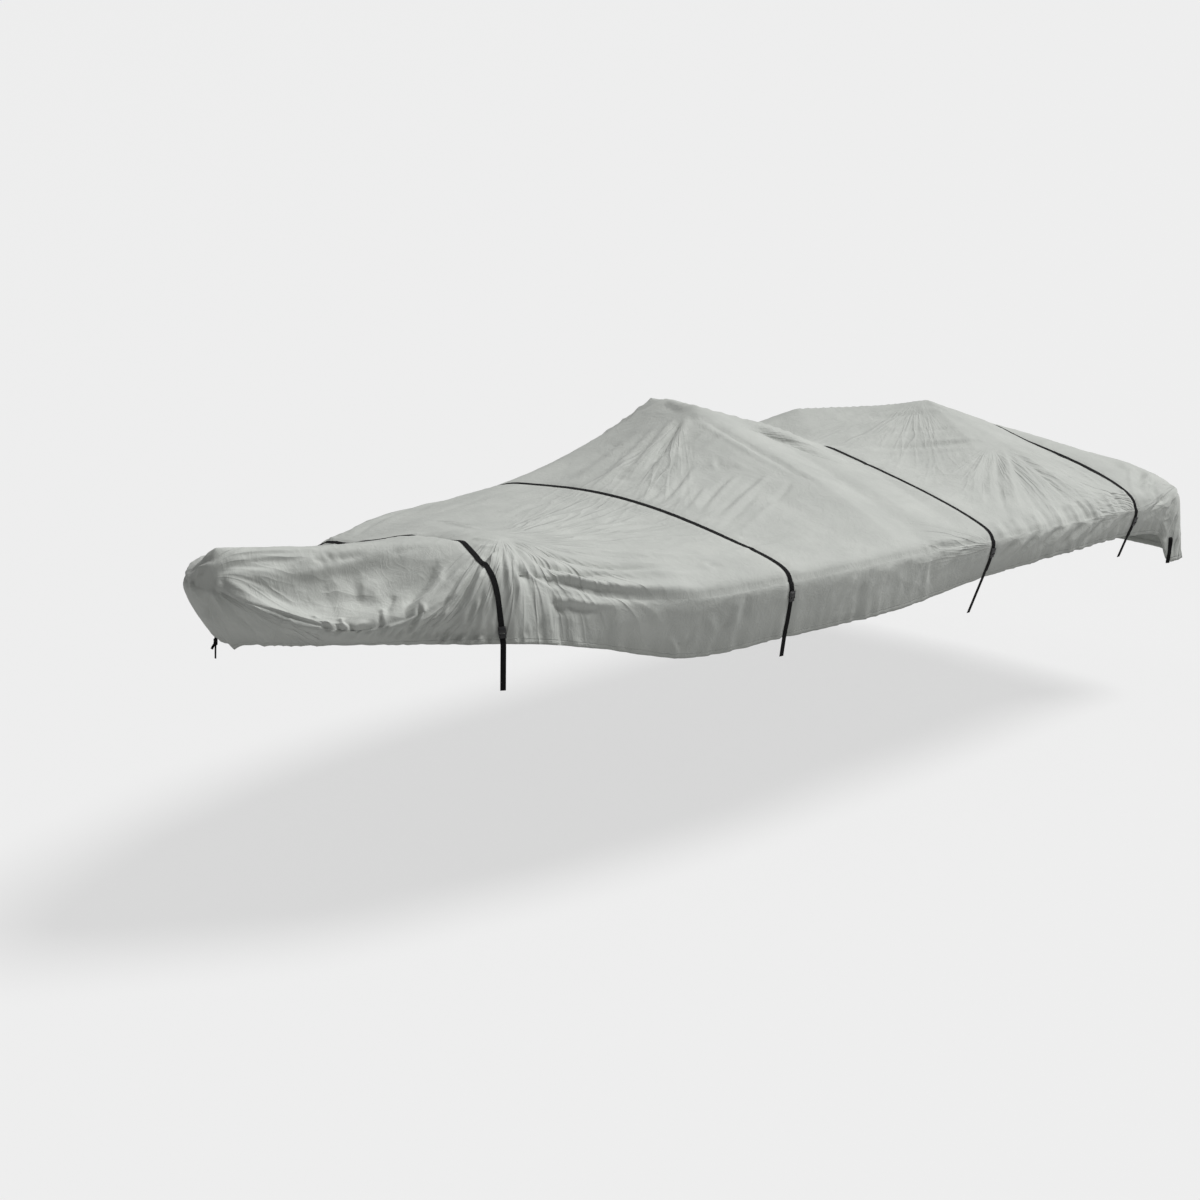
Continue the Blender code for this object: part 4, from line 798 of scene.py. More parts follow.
def crease_relief(x, q, creases, sharpness):
    """Sum of creases: rise * ends(t) * exp(-(distance / spread)^sharpness) from each smooth line.

    ends(t) comes up over CREASE_ENDS[0] of the line and dies away over its last CREASE_ENDS[1].
    """
    relief = np.zeros_like(x)
    for rise, width, points in creases:
        line = smooth_line(points)
        reach = CREASE_REACH * width * MM
        low, high = line.min(axis=0) - reach, line.max(axis=0) + reach
        near = (x > low[0]) & (x < high[0]) & (q > low[1]) & (q < high[1])
        px, pq = x[near], q[near]
        best = np.full(px.shape, np.inf)
        t = np.zeros_like(px)
        for k, (start, run) in enumerate(zip(line[:-1], np.diff(line, axis=0))):
            s = np.clip(((px - start[0]) * run[0] + (pq - start[1]) * run[1]) / (run @ run), 0.0, 1.0)
            away = np.hypot(px - start[0] - s * run[0], pq - start[1] - s * run[1])
            closer = away < best
            best = np.where(closer, away, best)
            t = np.where(closer, (k + s) / (LINE_STEPS - 1), t)
        ends = ease(t / CREASE_ENDS[0]) * ease((1.0 - t) / CREASE_ENDS[1])
        spread = width * MM * (CREASE_SPREAD[0] + CREASE_SPREAD[1] * t)
        relief[near] += rise * MM * ends * np.exp(-(best / spread) ** sharpness)
    return relief


def far_side(creases):
    """The same creases for the hidden starboard side, mirrored, moved a little and unevenly weaker."""
    draw = np.random.default_rng(MIRROR_SEED)
    still, over = MIRROR_STILL
    rows = []
    for rise, width, points in creases:
        moved, share = draw.uniform(-MIRROR_MOVE, MIRROR_MOVE), draw.uniform(*MIRROR_SHARES)
        x, q = points.T
        if q.max() < MIRROR_FROM:
            mirrored = np.stack((x + moved * ease((x - still) / over), -q), -1)
            rows.append((rise * share, width, mirrored))
    return rows


ALL_CREASES = [(rise, width, np.reshape(line, (-1, 2)) / IN_METRE) for rise, width, *line in CREASES]
FORMS = [row for row in ALL_CREASES if row[1] >= FORM_WIDTH]
MAIN_CREASES = [row for row in ALL_CREASES if row[1] < FORM_WIDTH] + far_side(ALL_CREASES)
FINE_CREASES = fan_creases()


def crumple(x, q):
    """Shallow ridged creases: 1 - |noise| raised to a power, at two scales, stretched athwart."""
    total = np.zeros_like(x)
    for scale_x, scale_q, rise, seed in CRUMPLES:
        ridge = 1.0 - np.abs(lattice_noise(x / scale_x, q / scale_q, seed)) * CRUMPLE_NARROW
        total += rise * np.clip(ridge, 0.0, 1.0) ** CRUMPLE_SHARP
    return total


def near_straps(along, across):
    """1 on the line of a strap, 0 away from it, with a flat middle wider than the webbing."""
    total = np.zeros_like(along)
    for strap in STRAPS.values():
        away = (along - strap_station(strap, across)) * LENGTH
        total = np.maximum(total, np.exp(-((away / GROOVE_HALF) ** 4)))
    return total


def skirt_puckers(along, across, x, q, drop):
    """Short upright folds that rise from the hem and die out above it, uneven along the hem."""
    run = np.where(np.abs(across) > 1.0, x, q)
    wave = np.zeros_like(drop)
    for size, lean, seed, gain in PUCKER_WAVES:
        wave += gain * lattice_noise(run / size, drop * lean, seed)
    size, seed, middle, least = PUCKER_PATCHES
    share = np.clip(lattice_noise(run / size, np.zeros_like(drop), seed) + middle, least, 1.0)
    return PUCKER_RISE * wave * share * drop ** PUCKER_POWER


def full_relief(along, across, x, q):
    """All of the folds, eased flat under the straps and pressed into a shallow groove there."""
    drop = np.maximum(np.maximum(-along, along - 1.0), np.maximum(np.abs(across) - 1.0, 0.0))
    pressed = near_straps(along, across)
    fine = crease_relief(x, q, FINE_CREASES, FINE_SHARP)
    fine = fine + crumple(x, q) + skirt_puckers(along, across, x, q, drop)
    main = crease_relief(x, q, MAIN_CREASES, MAIN_SHARP)
    above = (drop - HEM_LINE) / HEM_EDGE
    hem = HEM_RISE * ease(above) - HEM_GROOVE * np.exp(-above ** 2)
    left = main * (1.0 - PRESSED_FLAT[0] * pressed) + fine * (1.0 - PRESSED_FLAT[1] * pressed)
    return crease_relief(x, q, FORMS, MAIN_SHARP) + left - GROOVE_DEEP * pressed + hem


def unit(vectors):
    """Each vector brought to length 1."""
    return vectors / np.linalg.norm(vectors, axis=-1, keepdims=True)


def normals_of(surface, along, across):
    """Outward normals of a surface: across its two differences over small steps."""
    ahead = surface(along + STEP_ALONG, across)[0] - surface(along - STEP_ALONG, across)[0]
    aside = surface(along, across + STEP_ACROSS)[0] - surface(along, across - STEP_ACROSS)[0]
    return unit(np.cross(ahead, aside))


def sheet_surface(along, across):
    """Outer face: the smooth sheet moved along its own normal by the full relief, and (x, q).

    One corner of the bow hem hangs lower, by a narrow bell of the distance along the hem.
    """
    smooth, x, q = sheet_frame(along, across)
    points = smooth + normals_of(sheet_frame, along, across) * full_relief(along, across, x, q)[..., None]
    middle, half, drop, sharpness, start = HEM_TIP
    bell = np.exp(-(np.abs((q - middle) / half) ** sharpness))
    points[..., 2] -= drop * bell * ease((-along - start) / (1.0 - start))
    return points, x, q


# ---------------------------------------------------------------- meshes
def share_of(x):
    """Place of a station as a share of the length between the corner stations."""
    return (x - X_FORE) / LENGTH


def strap_station(strap, across):
    """Place along the sheet of a strap's middle line, which leans by its skew."""
    return share_of(strap["x"]) + strap["skew"] / LENGTH * np.clip(across, -1.0, 1.0)


def make_piece(name, parts, material, slot, *nodes):
    """One object from several (vertices, faces, uv per vertex) parts, smooth shaded, for its nodes."""
    verts, faces, coords, start = [], [], [], 0
    for points, quads, uv in parts:
        verts.append(points)
        faces.extend((np.asarray(quads) + start).tolist())
        coords.append(uv)
        start += len(points)
    verts, coords = np.concatenate(verts), np.concatenate(coords)
    mesh = bpy.data.meshes.new(name)
    mesh.from_pydata(verts.tolist(), [], faces)
    mesh.update()
    corner = np.empty(len(mesh.loops), dtype=np.int32)
    mesh.loops.foreach_get("vertex_index", corner)
    layer = mesh.uv_layers.new(name="flat")
    layer.data.foreach_set("uv", coords[corner].astype(np.float32).ravel())
    mesh.polygons.foreach_set("use_smooth", np.ones(len(mesh.polygons), dtype=bool))
    mesh.materials.append(material)
    obj = bpy.data.objects.new(name, mesh)
    bpy.context.scene.collection.objects.link(obj)
    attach(obj, "root")
    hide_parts(*nodes)
    return obj


def grid_quads(rows, cols):
    """Quads of a grid of rows by cols points, first way then second way."""
    index = np.arange(rows * cols).reshape(rows, cols)
    return np.stack((index[:-1, :-1], index[1:, :-1], index[1:, 1:], index[:-1, 1:]), -1).reshape(-1, 4)


def closed_loft(rings, uv):
    """Skin through closed rings (n, m, 3), with a flat end at each side: its points, quads and uv."""
    count, around = rings.shape[:2]
    index = np.arange(count * around).reshape(count, around)
    turn = np.roll(index, -1, axis=1)
    quads = np.stack((index[:-1], turn[:-1], turn[1:], index[1:]), -1).reshape(-1, 4)
    caps = []
    for ring, flip in ((index[0], True), (index[-1], False)):
        for k in range(around // 2 - 1):
            cap = [ring[k], ring[k + 1], ring[around - 2 - k], ring[around - 1 - k]]
            caps.append(cap[::-1] if flip else cap)
    return rings.reshape(-1, 3), np.concatenate((quads, np.array(caps))), uv.reshape(-1, 2)


def squared_circle(count, powers):
    """Rounded square of count points: signed powers of the cosine and the sine of an even turn."""
    turn = (np.arange(count) + 0.5) / count * 2.0 * np.pi
    waves = (np.cos(turn), np.sin(turn))
    return [np.sign(wave) * np.abs(wave) ** power for wave, power in zip(waves, powers)]


def band_section(wide, thick):
    """Section of webbing, across and out: a rounded square at its full width and thickness."""
    across, out = squared_circle(BAND_AROUND, BAND_SQUARE)
    return across * wide / 2.0, out * thick / 2.0


def sweep(path, side, out, section, lengths, ragged=0.0):
    """Loft of a section carried along a path on its side and outward directions.

    ragged moves the first ring back by a saw of the place across, as on a torn end.
    """
    across, high = section
    rings = path[:, None] + side[:, None] * across[None, :, None] + out[:, None] * high[None, :, None]
    saw = ragged * np.abs((across / np.ptp(across) * RAGGED_TEETH) % 1.0 - 0.5)
    rings[0] += saw[:, None] * unit(path[0] - path[1])
    uv = np.stack(np.broadcast_arrays(across[None], lengths[:, None]), -1)
    return closed_loft(rings, uv)


def lengths_of(path):
    """Length along a path at each of its points."""
    step = np.linalg.norm(np.diff(path, axis=0), axis=1)
    return np.concatenate(([0.0], np.cumsum(step)))


def ribbon(path, out, wide, thick):
    """Flat band along any path, its face turned to the outward directions given."""
    ahead = np.gradient(path, axis=0)
    side = unit(np.cross(ahead, out))
    return sweep(path, side, np.cross(side, unit(ahead)), band_section(wide, thick), lengths_of(path))


class StrapLine:
    """Middle line of one strap, from its port tail's end over the top to its starboard tail's end."""

    def __init__(self, strap):
        across = np.linspace(-2.0, 2.0, STRAP_STEPS)
        along = strap_station(strap, across)
        points = sheet_surface(along, across)[0]
        normals = normals_of(sheet_surface, along, across)
        fall, inward = strap["tail"]
        steps = np.linspace(0.0, 1.0, TAIL_STEPS + 1)[1:, None]
        port, starboard = (points[end] + steps * np.array((0.0, -side * inward, -fall))
                           for side, end in ((-1, 0), (1, -1)))
        self.points = np.concatenate((port[::-1], points, starboard))
        self.normals = np.pad(normals, ((TAIL_STEPS, TAIL_STEPS), (0, 0)), mode="edge")
        self.length = lengths_of(self.points)
        over = self.length[TAIL_STEPS:-TAIL_STEPS]
        self.knuckle = {side: over[np.argmin(np.abs(across - side))] for side in (-1, 1)}
        self.hem = {-1: over[0], 1: over[-1]}
        self.end = {-1: 0.0, 1: self.length[-1]}

    def frame_at(self, lengths, lift):
        """Points raised by lift, the webbing's side direction and its outward direction."""
        points, out = (np.stack([np.interp(lengths, self.length, values[:, k]) for k in range(3)], -1)
                       for values in (self.points, self.normals))
        ahead = unit(np.gradient(points, axis=0))
        side = unit(np.cross(ahead, out))
        out = np.cross(side, ahead)
        return points + out * lift, side, out

    def band(self, start, end, lift, ragged=0.0):
        """Webbing between two lengths of the line."""
        lengths = np.linspace(start, end, max(8, int(abs(end - start) / BAND_STEP)))
        points, side, out = self.frame_at(lengths, lift)
        return sweep(points, side, out, band_section(STRAP_WIDE, STRAP_THICK), lengths, ragged)


def block_part(place, size, square, taper):
    """Rounded block in a buckle's frame: superellipse sections along its length, rounded ends.

    place is (side, along, out) of its middle, size its full sizes the same way.
    """
    end = np.linspace(-1.0, 1.0, BLOCK_RINGS)
    end = np.sign(end) * (1.0 - (1.0 - np.abs(end)) ** BLOCK_CROWDED)
    shrink = np.maximum((1.0 - np.abs(end) ** BLOCK_ROUND[0]) ** BLOCK_ROUND[1], BLOCK_LEAST)
    cut = min(size) * BLOCK_EDGE * (1.0 - shrink[:, None])
    a, b = squared_circle(BLOCK_AROUND, square)
    wide = size[0] / 2.0 * (1.0 - taper * (end + 1.0) / 2.0)
    side = a[None] * np.maximum(wide[:, None] - cut, BLOCK_THIN)
    high = b[None] * np.maximum(size[2] / 2.0 - cut, BLOCK_THIN)
    length = np.broadcast_to(end[:, None] * size[1] / 2.0, side.shape)
    local = np.stack((side + place[0], length + place[1], high + place[2]), -1)
    return local, np.stack((side, length), -1)


def build_buckle(name, node, line, side, middle, material):
    """Side-release buckle with its wings and its two webbing bars, on the strap's line."""
    half = BUCKLE_SIZE[1] / 2.0
    lengths = line.knuckle[side] + side * np.array((middle - half, middle, middle + half))
    points, across, out = line.frame_at(lengths, 0.0)
    down = unit(points[2] - points[0])
    aft = across[1] * np.sign(across[1][0])
    aft = unit(aft - down * (aft @ down))
    outward = np.cross(aft, down)
    turned = outward @ out[1] < 0
    outward = -outward if turned else outward
    base = (points[0] + points[2]) / 2.0
    raise_by = max((p - base) @ outward for p in points) + BUCKLE_GAP + BUCKLE_SIZE[2] / 2.0
    base = base + outward * raise_by
    parts = []
    for (across_by, *place), size, square, taper in BUCKLE_BLOCKS:
        for sign in (-1, 1) if across_by else (1,):
            local, uv = block_part((sign * across_by, *place), size, square, taper)
            world = base + local[..., :1] * aft + local[..., 1:2] * down + local[..., 2:] * outward
            rings, faces, coords = closed_loft(world, uv)
            parts.append((rings, faces[:, ::-1] if turned else faces, coords))
    return make_piece(name, parts, material, "buckle_plastic", node)


# ---------------------------------------------------------------- shared shader effects
def feed(tree, node, links):
    """Each socket named is linked to the output given for it, or set to the value given."""
    for socket, source in links.items():
        if hasattr(source, "is_output"):
            tree.links.new(source, node.inputs[socket])
        else:
            node.inputs[socket].default_value = source


def chain(tree, kind, links=None, **values):
    """One node: attribute values by keyword, sockets fed or set by the links table."""
    node = tree.nodes.new(kind)
    for key, value in values.items():
        setattr(node, key, value)
    feed(tree, node, links or {})
    return node


def node_math(tree, operation, *values):
    """Output of one math node on the values or sockets given."""
    return chain(tree, "ShaderNodeMath", dict(enumerate(values)), operation=operation).outputs[0]


def above_zero(tree, value, gain):
    """gain * value + 1, not below 0."""
    return node_math(tree, "MAXIMUM", node_math(tree, "MULTIPLY_ADD", value, gain, 1.0), 0.0)


def crest_of(tree, noise):
    """Thin crest where the noise crosses its middle: (1 - sharp * |2 noise - 1|), not below 0."""
    away = node_math(tree, "ABSOLUTE", node_math(tree, "MULTIPLY_ADD", noise, 2.0, -1.0))
    return node_math(tree, "POWER", above_zero(tree, away, -WRINKLE_SHARP), WRINKLE_POWER)


def weave_group():
    """Plain weave: the product of two sine waves across warp and weft, as a height."""
    group = bpy.data.node_groups.new("plain_weave", "ShaderNodeTree")
    group.interface.new_socket(name="Vector", in_out="INPUT", socket_type="NodeSocketVector")
    group.interface.new_socket(name="Threads", in_out="INPUT", socket_type="NodeSocketFloat")
    group.interface.new_socket(name="Height", in_out="OUTPUT", socket_type="NodeSocketFloat")
    enter = group.nodes.new("NodeGroupInput")
    leave = group.nodes.new("NodeGroupOutput")
    parts = chain(group, "ShaderNodeSeparateXYZ", {0: enter.outputs["Vector"]})
    turns = [node_math(group, "MULTIPLY", parts.outputs[axis], enter.outputs["Threads"]) for axis in (0, 1)]
    waves = [node_math(group, "SINE", turn) for turn in turns]
    feed(group, leave, {"Height": node_math(group, "MULTIPLY", *waves)})
    return group


def woven(tree, weave, flat, threads):
    """Height of the plain weave on flat coordinates, with its threads as radians in a metre."""
    links = {"Vector": flat, "Threads": threads}
    return chain(tree, "ShaderNodeGroup", links, node_tree=weave).outputs["Height"]


def principled(name):
    """A new material, its node tree and its Principled shader."""
    mat = bpy.data.materials.new(name)
    mat.use_nodes = True
    return mat, mat.node_tree, mat.node_tree.nodes["Principled BSDF"]


def noise_of(tree, vector, scale, detail, roughness=0.5, distortion=0.0):
    """Output of one noise texture."""
    links = {"Vector": vector, "Scale": scale, "Detail": detail, "Roughness": roughness,
             "Distortion": distortion}
    return chain(tree, "ShaderNodeTexNoise", links).outputs["Fac"]


def bump(tree, height, strength, distance, **under):
    """Normal of one bump node, laid over the Normal under it where one is given."""
    links = {"Height": height, "Strength": strength, "Distance": distance, **under}
    return chain(tree, "ShaderNodeBump", links).outputs["Normal"]


def ramp(tree, source, low, high, low_at, high_at):
    """Colour that runs from low to high between two values of the source."""
    node = chain(tree, "ShaderNodeValToRGB", {0: source})
    for element, colour, place in zip(node.color_ramp.elements, (low, high), (low_at, high_at)):
        element.position = place
        element.color = (*colour, 1.0)
    return node.outputs["Color"]


def blend(tree, share, under, over):
    """Colour under with the colour over laid on it by a share."""
    return chain(tree, "ShaderNodeMix", {0: share, 6: under, 7: over}, data_type="RGBA").outputs[2]


def cloth_material(weave):
    """Coated polyester: grey, faintly uneven, darkened near its border by painted shade, with fine
    set creases, two rows of stitching above the border and a plain weave.
    """
    mat, tree, shader = principled("grey_coated_polyester")
    flat = chain(tree, "ShaderNodeTexCoord").outputs["UV"]
    tint = noise_of(tree, flat, 3.0, 5.0, 0.6)
    colour = ramp(tree, tint, CLOTH_DARK, CLOTH_LIGHT, 0.3, 0.7)
    edge = chain(tree, "ShaderNodeAttribute", attribute_name="from_border").outputs["Fac"]
    # painted shade: the base colour is darkened near the border, standing in for the shade on the lower
    # skirts
    hem_shade = node_math(tree, "MULTIPLY", above_zero(tree, edge, -1.0 / HEM_SHADE_REACH), tint)
    colour = blend(tree, node_math(tree, "MULTIPLY", hem_shade, HEM_SHADE_SHARE), colour, HEM_SHADE_COLOUR)
    parts = chain(tree, "ShaderNodeSeparateXYZ", {0: flat})
    run = node_math(tree, "ADD", parts.outputs["X"], parts.outputs["Y"])
    wave = node_math(tree, "SINE", node_math(tree, "MULTIPLY", run, STITCH_PITCH))
    dash = node_math(tree, "GREATER_THAN", wave, STITCH_OPEN)
    height = 0.0
    for row in STITCH_ROWS:
        on_row = node_math(tree, "MULTIPLY", node_math(tree, "COMPARE", edge, row, STITCH_HALF), dash)
        colour = blend(tree, on_row, colour, STITCH_COLOUR)
        away = node_math(tree, "ABSOLUTE", node_math(tree, "SUBTRACT", edge, row))
        groove = above_zero(tree, away, -1.0 / STITCH_GROOVE)
        height = node_math(tree, "MULTIPLY_ADD", groove, -STITCH_DEEP, height)
    for label in SHADED_FANS:
        marks = chain(tree, "ShaderNodeAttribute", attribute_name=label).outputs["Vector"]
        spread = chain(tree, "ShaderNodeVectorMath", {0: marks, 1: (1.0, FAN_DRIFT, 0.0)},
                       operation="MULTIPLY").outputs[0]
        noise = noise_of(tree, spread, 1.0, 2.0, 0.5, 0.3)
        crest = node_math(tree, "MULTIPLY_ADD", noise, FAN_SOFT, crest_of(tree, noise))
        share = chain(tree, "ShaderNodeSeparateXYZ", {0: marks}).outputs["Z"]
        height = node_math(tree, "MULTIPLY_ADD", crest, share, height)
    for scale, gain in WRINKLES:
        noise = noise_of(tree, flat, scale, 4.0, 0.6, 1.2)
        height = node_math(tree, "MULTIPLY_ADD", crest_of(tree, noise), gain, height)
    creased = bump(tree, height, 1.0, 0.01)
    normal = bump(tree, woven(tree, weave, flat, THREADS), 0.25, 0.0002, Normal=creased)
    feed(tree, shader, {"Base Color": colour, "Normal": normal, "Roughness": 0.72, "Sheen Weight": 0.12,
                        "Sheen Roughness": 0.5, "Specular IOR Level": 0.3})
    return mat


def webbing_material(weave):
    """Black polyester webbing with a coarse weave and slightly lighter worn ribs."""
    mat, tree, shader = principled("black_woven_webbing")
    flat = chain(tree, "ShaderNodeTexCoord").outputs["UV"]
    ribs = woven(tree, weave, flat, WEBBING_THREADS)
    feed(tree, shader, {"Base Color": ramp(tree, ribs, *WEBBING_COLOURS, 0.0, 0.8),
                        "Normal": bump(tree, ribs, 0.6, 0.0006), "Roughness": 0.75,
                        "Specular IOR Level": 0.15})
    return mat


def plastic_material():
    """Black moulded plastic with a fine grain."""
    mat, tree, shader = principled("black_moulded_plastic")
    place = chain(tree, "ShaderNodeTexCoord").outputs["Object"]
    grain = noise_of(tree, place, PLASTIC_GRAIN, 3.0)
    feed(tree, shader, {"Base Color": ramp(tree, grain, *PLASTIC_COLOURS, 0.35, 0.65),
                        "Normal": bump(tree, grain, 0.2, 0.0001), "Roughness": 0.38})
    return mat


# ---------------------------------------------------------------- the pieces
def dense_lines(first, last, count, bumps):
    """count steps from first to last, closer where the density 1 + sum of bumps is high.

    Each bump is (middle, half width, height); the lines are equal steps of the density's sum.
    """
    fine = np.linspace(first, last, FINE_STEPS)
    density = 1.0 + sum(high * np.exp(-(((fine - middle) / half) ** 2)) for middle, half, high in bumps)
    total = np.concatenate(([0.0], np.cumsum((density[1:] + density[:-1]) / 2.0)))
    return np.interp(np.linspace(0.0, total[-1], count + 1), total, fine)


def sheet_lines():
    """Lines of the sheet's grid both ways, with a few set at the edges of each strap."""
    top = share_of(dense_lines(X_FORE, X_AFT, SHEET_LONG, LONG_BUMPS))
    beside = [share_of(strap["x"] + off) for strap in STRAPS.values() for off in STRAP_LINES]
    step = np.gradient(top)
    plain = [a for a, s in zip(top, step) if min(abs(a - b) for b in beside) > LINE_APART * s]
    skirts = [dense_lines(0.0, 1.0, count, SKIRT_BUMPS)[1:] for count in SHEET_SKIRTS]
    along = np.concatenate((-skirts[0][::-1], np.sort(plain + beside), 1.0 + skirts[1]))
    wide = dense_lines(-1.0, 1.0, SHEET_WIDE, WIDE_BUMPS)
    return along, np.concatenate((-1.0 - skirts[2][::-1], wide, 1.0 + skirts[3]))


def turned_hem(points, uv):
    """Loops that turn the border under and up inside: steps down, in and up from the border."""
    rows, cols = points.shape[:2]
    index = np.arange(rows * cols).reshape(rows, cols)
    rim = np.concatenate((index[:, 0], index[-1, 1:], index[-2::-1, -1], index[0, -2:0:-1]))
    inner_row = np.clip(rim // cols, HEM_ROWS, rows - 1 - HEM_ROWS)
    inner = inner_row * cols + np.clip(rim % cols, HEM_ROWS, cols - 1 - HEM_ROWS)
    flat = points.reshape(-1, 3)
    border = flat[rim]
    rise = unit(flat[inner] - border)
    inward = unit(np.cross(rise, np.roll(border, -1, axis=0) - np.roll(border, 1, axis=0)))
    inward = inward * np.sign(np.sum(inward[:, :2] * (HEM_MIDDLE - border[:, :2]), axis=1))[:, None]
    loops = [border + inward * deep + rise * high for deep, high in HEM_TURN]
    rings = [rim] + [rows * cols + k * len(rim) + np.arange(len(rim)) for k in range(len(HEM_TURN))]
    quads = [np.stack((a, b, np.roll(b, -1), np.roll(a, -1)), -1) for a, b in zip(rings[:-1], rings[1:])]
    return np.concatenate(loops), np.concatenate(quads), np.tile(uv[rim], (len(HEM_TURN), 1))


def fan_marks(x, q, fans):
    """For the shader, of the strongest fan at each point: turn in creases, radius and height.

    Height is the fan's own times (radius / outer)^FAN_GROWTH, ease(radius / inner), and an ease
    to the outer radius and to its sides.
    """
    marks = np.zeros(x.shape + (3,))
    for number, (mid_x, mid_q, way, half, inner, outer, count, high) in enumerate(fans):
        radius = np.hypot(x - mid_x, q - mid_q)
        turn = np.angle(np.exp(1j * (np.arctan2(q - mid_q, x - mid_x) - np.radians(way))))
        share = ease(radius / inner) * ease((outer - radius) / (outer - inner))
        share = share * ease((np.radians(half) - np.abs(turn)) / FAN_EDGE)
        share = high * share * (radius / outer) ** FAN_GROWTH
        own = share > marks[:, 2]
        marks[own] = np.stack((turn * count + FAN_APART * number, radius, share), -1)[own]
    return marks


def from_border(points):
    """Shortest way from each grid point to the border, along the grid's own lines."""
    ways = []
    for axis in (0, 1):
        step = np.linalg.norm(np.diff(points, axis=axis), axis=-1)
        start = np.zeros_like(np.take(step, [0], axis=axis))
        way = np.concatenate((start, np.cumsum(step, axis=axis)), axis=axis)
        ways += [way, np.take(way, [-1], axis=axis) - way]
    return np.minimum.reduce(ways)


def mark(mesh, label, kind, field, values, columns=1):
    """Attribute of a mesh's points, 0 past the end of the values."""
    table = np.zeros((len(mesh.vertices), columns), dtype=np.float32)
    table[:len(values)] = values
    mesh.attributes.new(label, kind, "POINT").data.foreach_set(field, table.ravel())


def build_sheet(material):
    """The one sheet: its grid leans with each strap near it, and its border is turned under."""
    along, across = np.meshgrid(*sheet_lines(), indexing="ij")
    lean = np.zeros_like(along)
    for strap in STRAPS.values():
        near = np.exp(-(((along - share_of(strap["x"])) / SKEW_REACH) ** 4))
        lean += strap["skew"] / LENGTH * near
    along = along + lean * np.clip(across, -1.0, 1.0)
    points, x, q = sheet_surface(along, across)
    uv = np.stack((x, q), -1).reshape(-1, 2)
    hem, strip, hem_uv = turned_hem(points, uv)
    quads = np.concatenate((grid_quads(*along.shape), strip))
    verts = np.concatenate((points.reshape(-1, 3), hem))
    whole = [(verts, quads, np.concatenate((uv, hem_uv)))]
    sheet = make_piece("grey_cover_sheet", whole, material, "cloth", "cover_cloth")
    for label, fans in SHADED_FANS.items():
        mark(sheet.data, label, "FLOAT_VECTOR", "vector", fan_marks(x.ravel(), q.ravel(), fans), 3)
    mark(sheet.data, "from_border", "FLOAT", "value", from_border(points).reshape(-1, 1))
    return sheet


def build_straps(webbing, plastic):
    """Each strap over the top, its buckles, tails and loose ends."""
    half = BUCKLE_SIZE[1] / 2.0
    for name, strap in STRAPS.items():
        line = StrapLine(strap)
        ends = {}
        for side, label in SIDES:
            knuckle = line.knuckle[side]
            depth = abs(line.hem[side] - knuckle)
            middle = min(strap["buckle_at"] * depth + half, depth - BUCKLE_ABOVE_HEM - half)
            ends[side] = knuckle + side * (middle - half + THREADED)
            place = f"{name}_{label}"
            build_buckle(f"strap_buckle_{place}", f"buckle_{place}", line, side, middle, plastic)
            start = knuckle + side * (middle + half - THREADED)
            tail = line.band(start, line.end[side], STRAP_LIFT)
            make_piece(f"hanging_tail_{place}", [tail], webbing, "webbing", f"tail_{place}")
            if strap["free_end"]:
                loose = line.band(start, start + side * strap["free_end"], LOOSE_LIFT)
                make_piece(f"loose_end_{place}", [loose], webbing, "webbing", f"free_end_{place}")
        bands = [line.band(ends[-1], ends[1], STRAP_LIFT)]
        for start, end in ((ends[-1], ends[-1] + FOLDED_BACK), (ends[1] - FOLDED_BACK, ends[1])):
            bands.append(line.band(start, end, STRAP_LIFT + FOLDED_LIFT))
        make_piece(f"over_strap_{name}", bands, webbing, "webbing", f"strap_{name}")


def build_tabs(webbing):
    """Short tab of webbing on each forward edge of the deep flap."""
    line = StrapLine(dict(x=STERN_TAB_AT, skew=0.0, tail=(STERN_TAB_HANG, 0.0)))
    for side, label in SIDES:
        start = line.knuckle[side] + (line.hem[side] - line.knuckle[side]) * STERN_TAB_DROP
        tab = line.band(start, line.end[side], STRAP_LIFT, TAB_RAGGED)
        make_piece(f"flap_tab_{label}", [tab], webbing, "webbing", f"stern_tab_{label}")


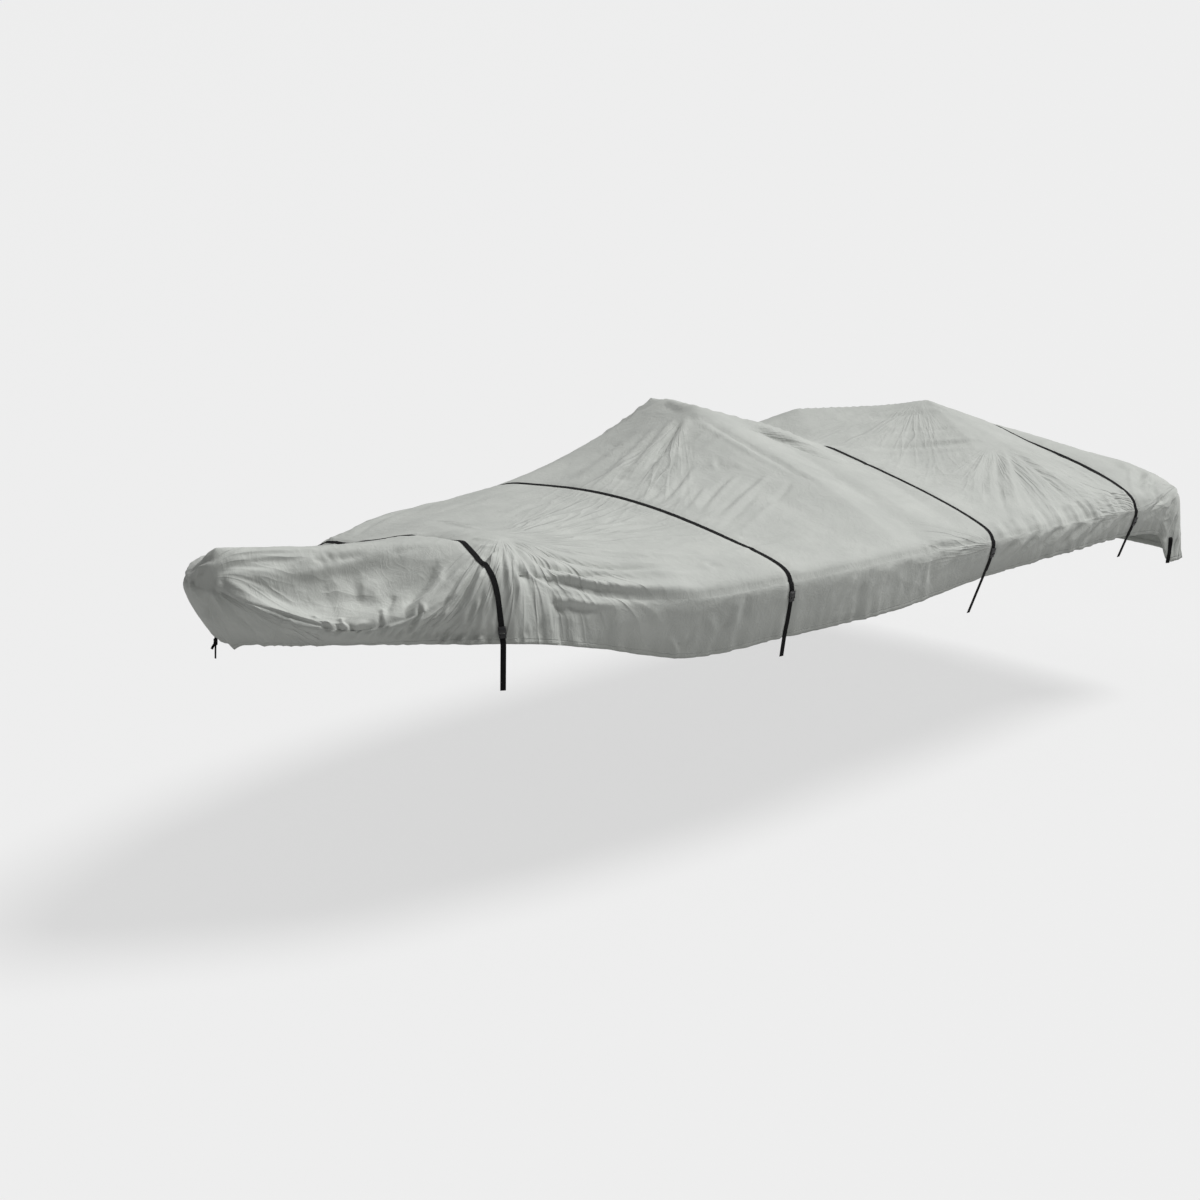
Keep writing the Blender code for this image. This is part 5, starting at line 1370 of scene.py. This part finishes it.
def build_bow_tie(webbing):
    """Strap from the bow hem that runs into a knot: its strand, the wraps round it and a short end.

    The wraps follow a tilted helix round the strand; the short end curves aside and down.
    """
    across = np.linspace(*BOW_TIE_SEARCH)
    hem = sheet_surface(np.full_like(across, -1.0), across)[0]
    foot = hem[np.argmin(np.hypot(hem[:, 0] - BOW_TIE_AT[0], hem[:, 1] - BOW_TIE_AT[1]))]

    def hang(drops):
        """Points below the hem by the drops given, a little further forward as they go down."""
        return foot + np.stack((BOW_TIE_INSIDE - np.maximum(drops, 0.0) * BOW_TIE_SWING,
                                np.zeros_like(drops), -drops), -1)

    sections = np.array(BOW_TIE_SECTIONS)
    drops = np.linspace(sections[0, 0], sections[-1, 0], BOW_TIE_STEPS)
    wide, thick = (np.interp(drops, sections[:, 0], sections[:, k])[:, None] for k in (1, 2))
    a, b = (values[None] for values in band_section(1.0, 1.0))
    rings = hang(drops)[:, None] + np.stack((-b * thick, a * wide, np.zeros_like(a * wide)), -1)
    uv = np.stack((a * wide, np.broadcast_to(drops[:, None], rings.shape[:2])), -1)
    turn = np.linspace(0.0, 2.0 * np.pi * KNOT_TURNS, KNOT_STEPS)
    out = np.stack((np.cos(turn), np.sin(turn), np.zeros_like(turn)), -1)
    heights = np.interp(turn, (0.0, turn[-1]), KNOT_DROPS) + KNOT_TILT * np.sin(turn)
    wraps = hang(heights) + out * KNOT_RADIUS
    t = np.linspace(0.0, 1.0, KNOT_END_STEPS)
    aside, down, power, above = KNOT_END
    short = hang(KNOT_DROPS[1] - above + down * t**power) + np.outer(aside * t, KNOT_END_WAY)
    facing = np.broadcast_to(KNOT_END_FACE, short.shape)
    parts = [closed_loft(rings, uv), ribbon(wraps, out, *KNOT_BAND), ribbon(short, facing, *KNOT_BAND)]
    make_piece("knotted_bow_strap", parts, webbing, "webbing", "bow_tie")


def build_camera():
    """Camera at the photograph's place and viewing angle."""
    lens = bpy.data.cameras.new("photo_view")
    lens.lens = CAMERA_LENS
    lens.sensor_width = CAMERA_SENSOR
    camera = bpy.data.objects.new("photo_view", lens)
    camera.location = CAMERA_AT
    camera.rotation_euler = Euler(np.radians((90.0 - CAMERA_DOWN, 0.0, CAMERA_HEADING - 90.0)))
    bpy.context.scene.collection.objects.link(camera)
    bpy.context.scene.camera = camera


def build_studio():
    """Pale floor, an even white surround and one broad soft light from above and aft."""
    mesh = bpy.data.meshes.new("studio_floor")
    s = FLOOR_HALF
    z = -GROUND_TO_ORIGIN
    mesh.from_pydata([(-s, -s, z), (s, -s, z), (s, s, z), (-s, s, z)], [], [(0, 1, 2, 3)])
    floor = bpy.data.objects.new("studio_floor", mesh)
    mat, tree, shader = principled("pale_floor")
    feed(tree, shader, {"Base Color": FLOOR_COLOUR, "Roughness": 0.9})
    seen = chain(tree, "ShaderNodeLightPath").outputs["Is Camera Ray"]
    glow = chain(tree, "ShaderNodeEmission", {"Color": WHITE, "Strength": 1.0})
    mixed = chain(tree, "ShaderNodeMixShader", {0: node_math(tree, "MULTIPLY", seen, FLOOR_GLOW),
                                                1: shader.outputs[0], 2: glow.outputs[0]})
    feed(tree, tree.nodes["Material Output"], {"Surface": mixed.outputs[0]})
    mesh.materials.append(mat)
    bpy.context.scene.collection.objects.link(floor)

    world = bpy.data.worlds.new("studio_surround")
    world.use_nodes = True
    sky = world.node_tree
    seen = chain(sky, "ShaderNodeLightPath").outputs["Is Camera Ray"]
    strength = node_math(sky, "MULTIPLY_ADD", seen, SKY_SEEN - SURROUND, SURROUND)
    feed(sky, sky.nodes["Background"], {"Color": WHITE, "Strength": strength})
    bpy.context.scene.world = world

    light = bpy.data.lights.new("soft_overhead", "SUN")
    light.energy = KEY_POWER
    light.angle = np.radians(KEY_SPREAD)
    lamp = bpy.data.objects.new("soft_overhead", light)
    lamp.rotation_euler = Euler(np.radians(KEY_TURN))
    bpy.context.scene.collection.objects.link(lamp)
    bpy.context.scene.view_settings.view_transform = "Standard"


weave = weave_group()
webbing = webbing_material(weave)
build_camera()
build_studio()
sheet = build_sheet(cloth_material(weave))
build_straps(webbing, plastic_material())
build_tabs(webbing)
build_bow_tie(webbing)
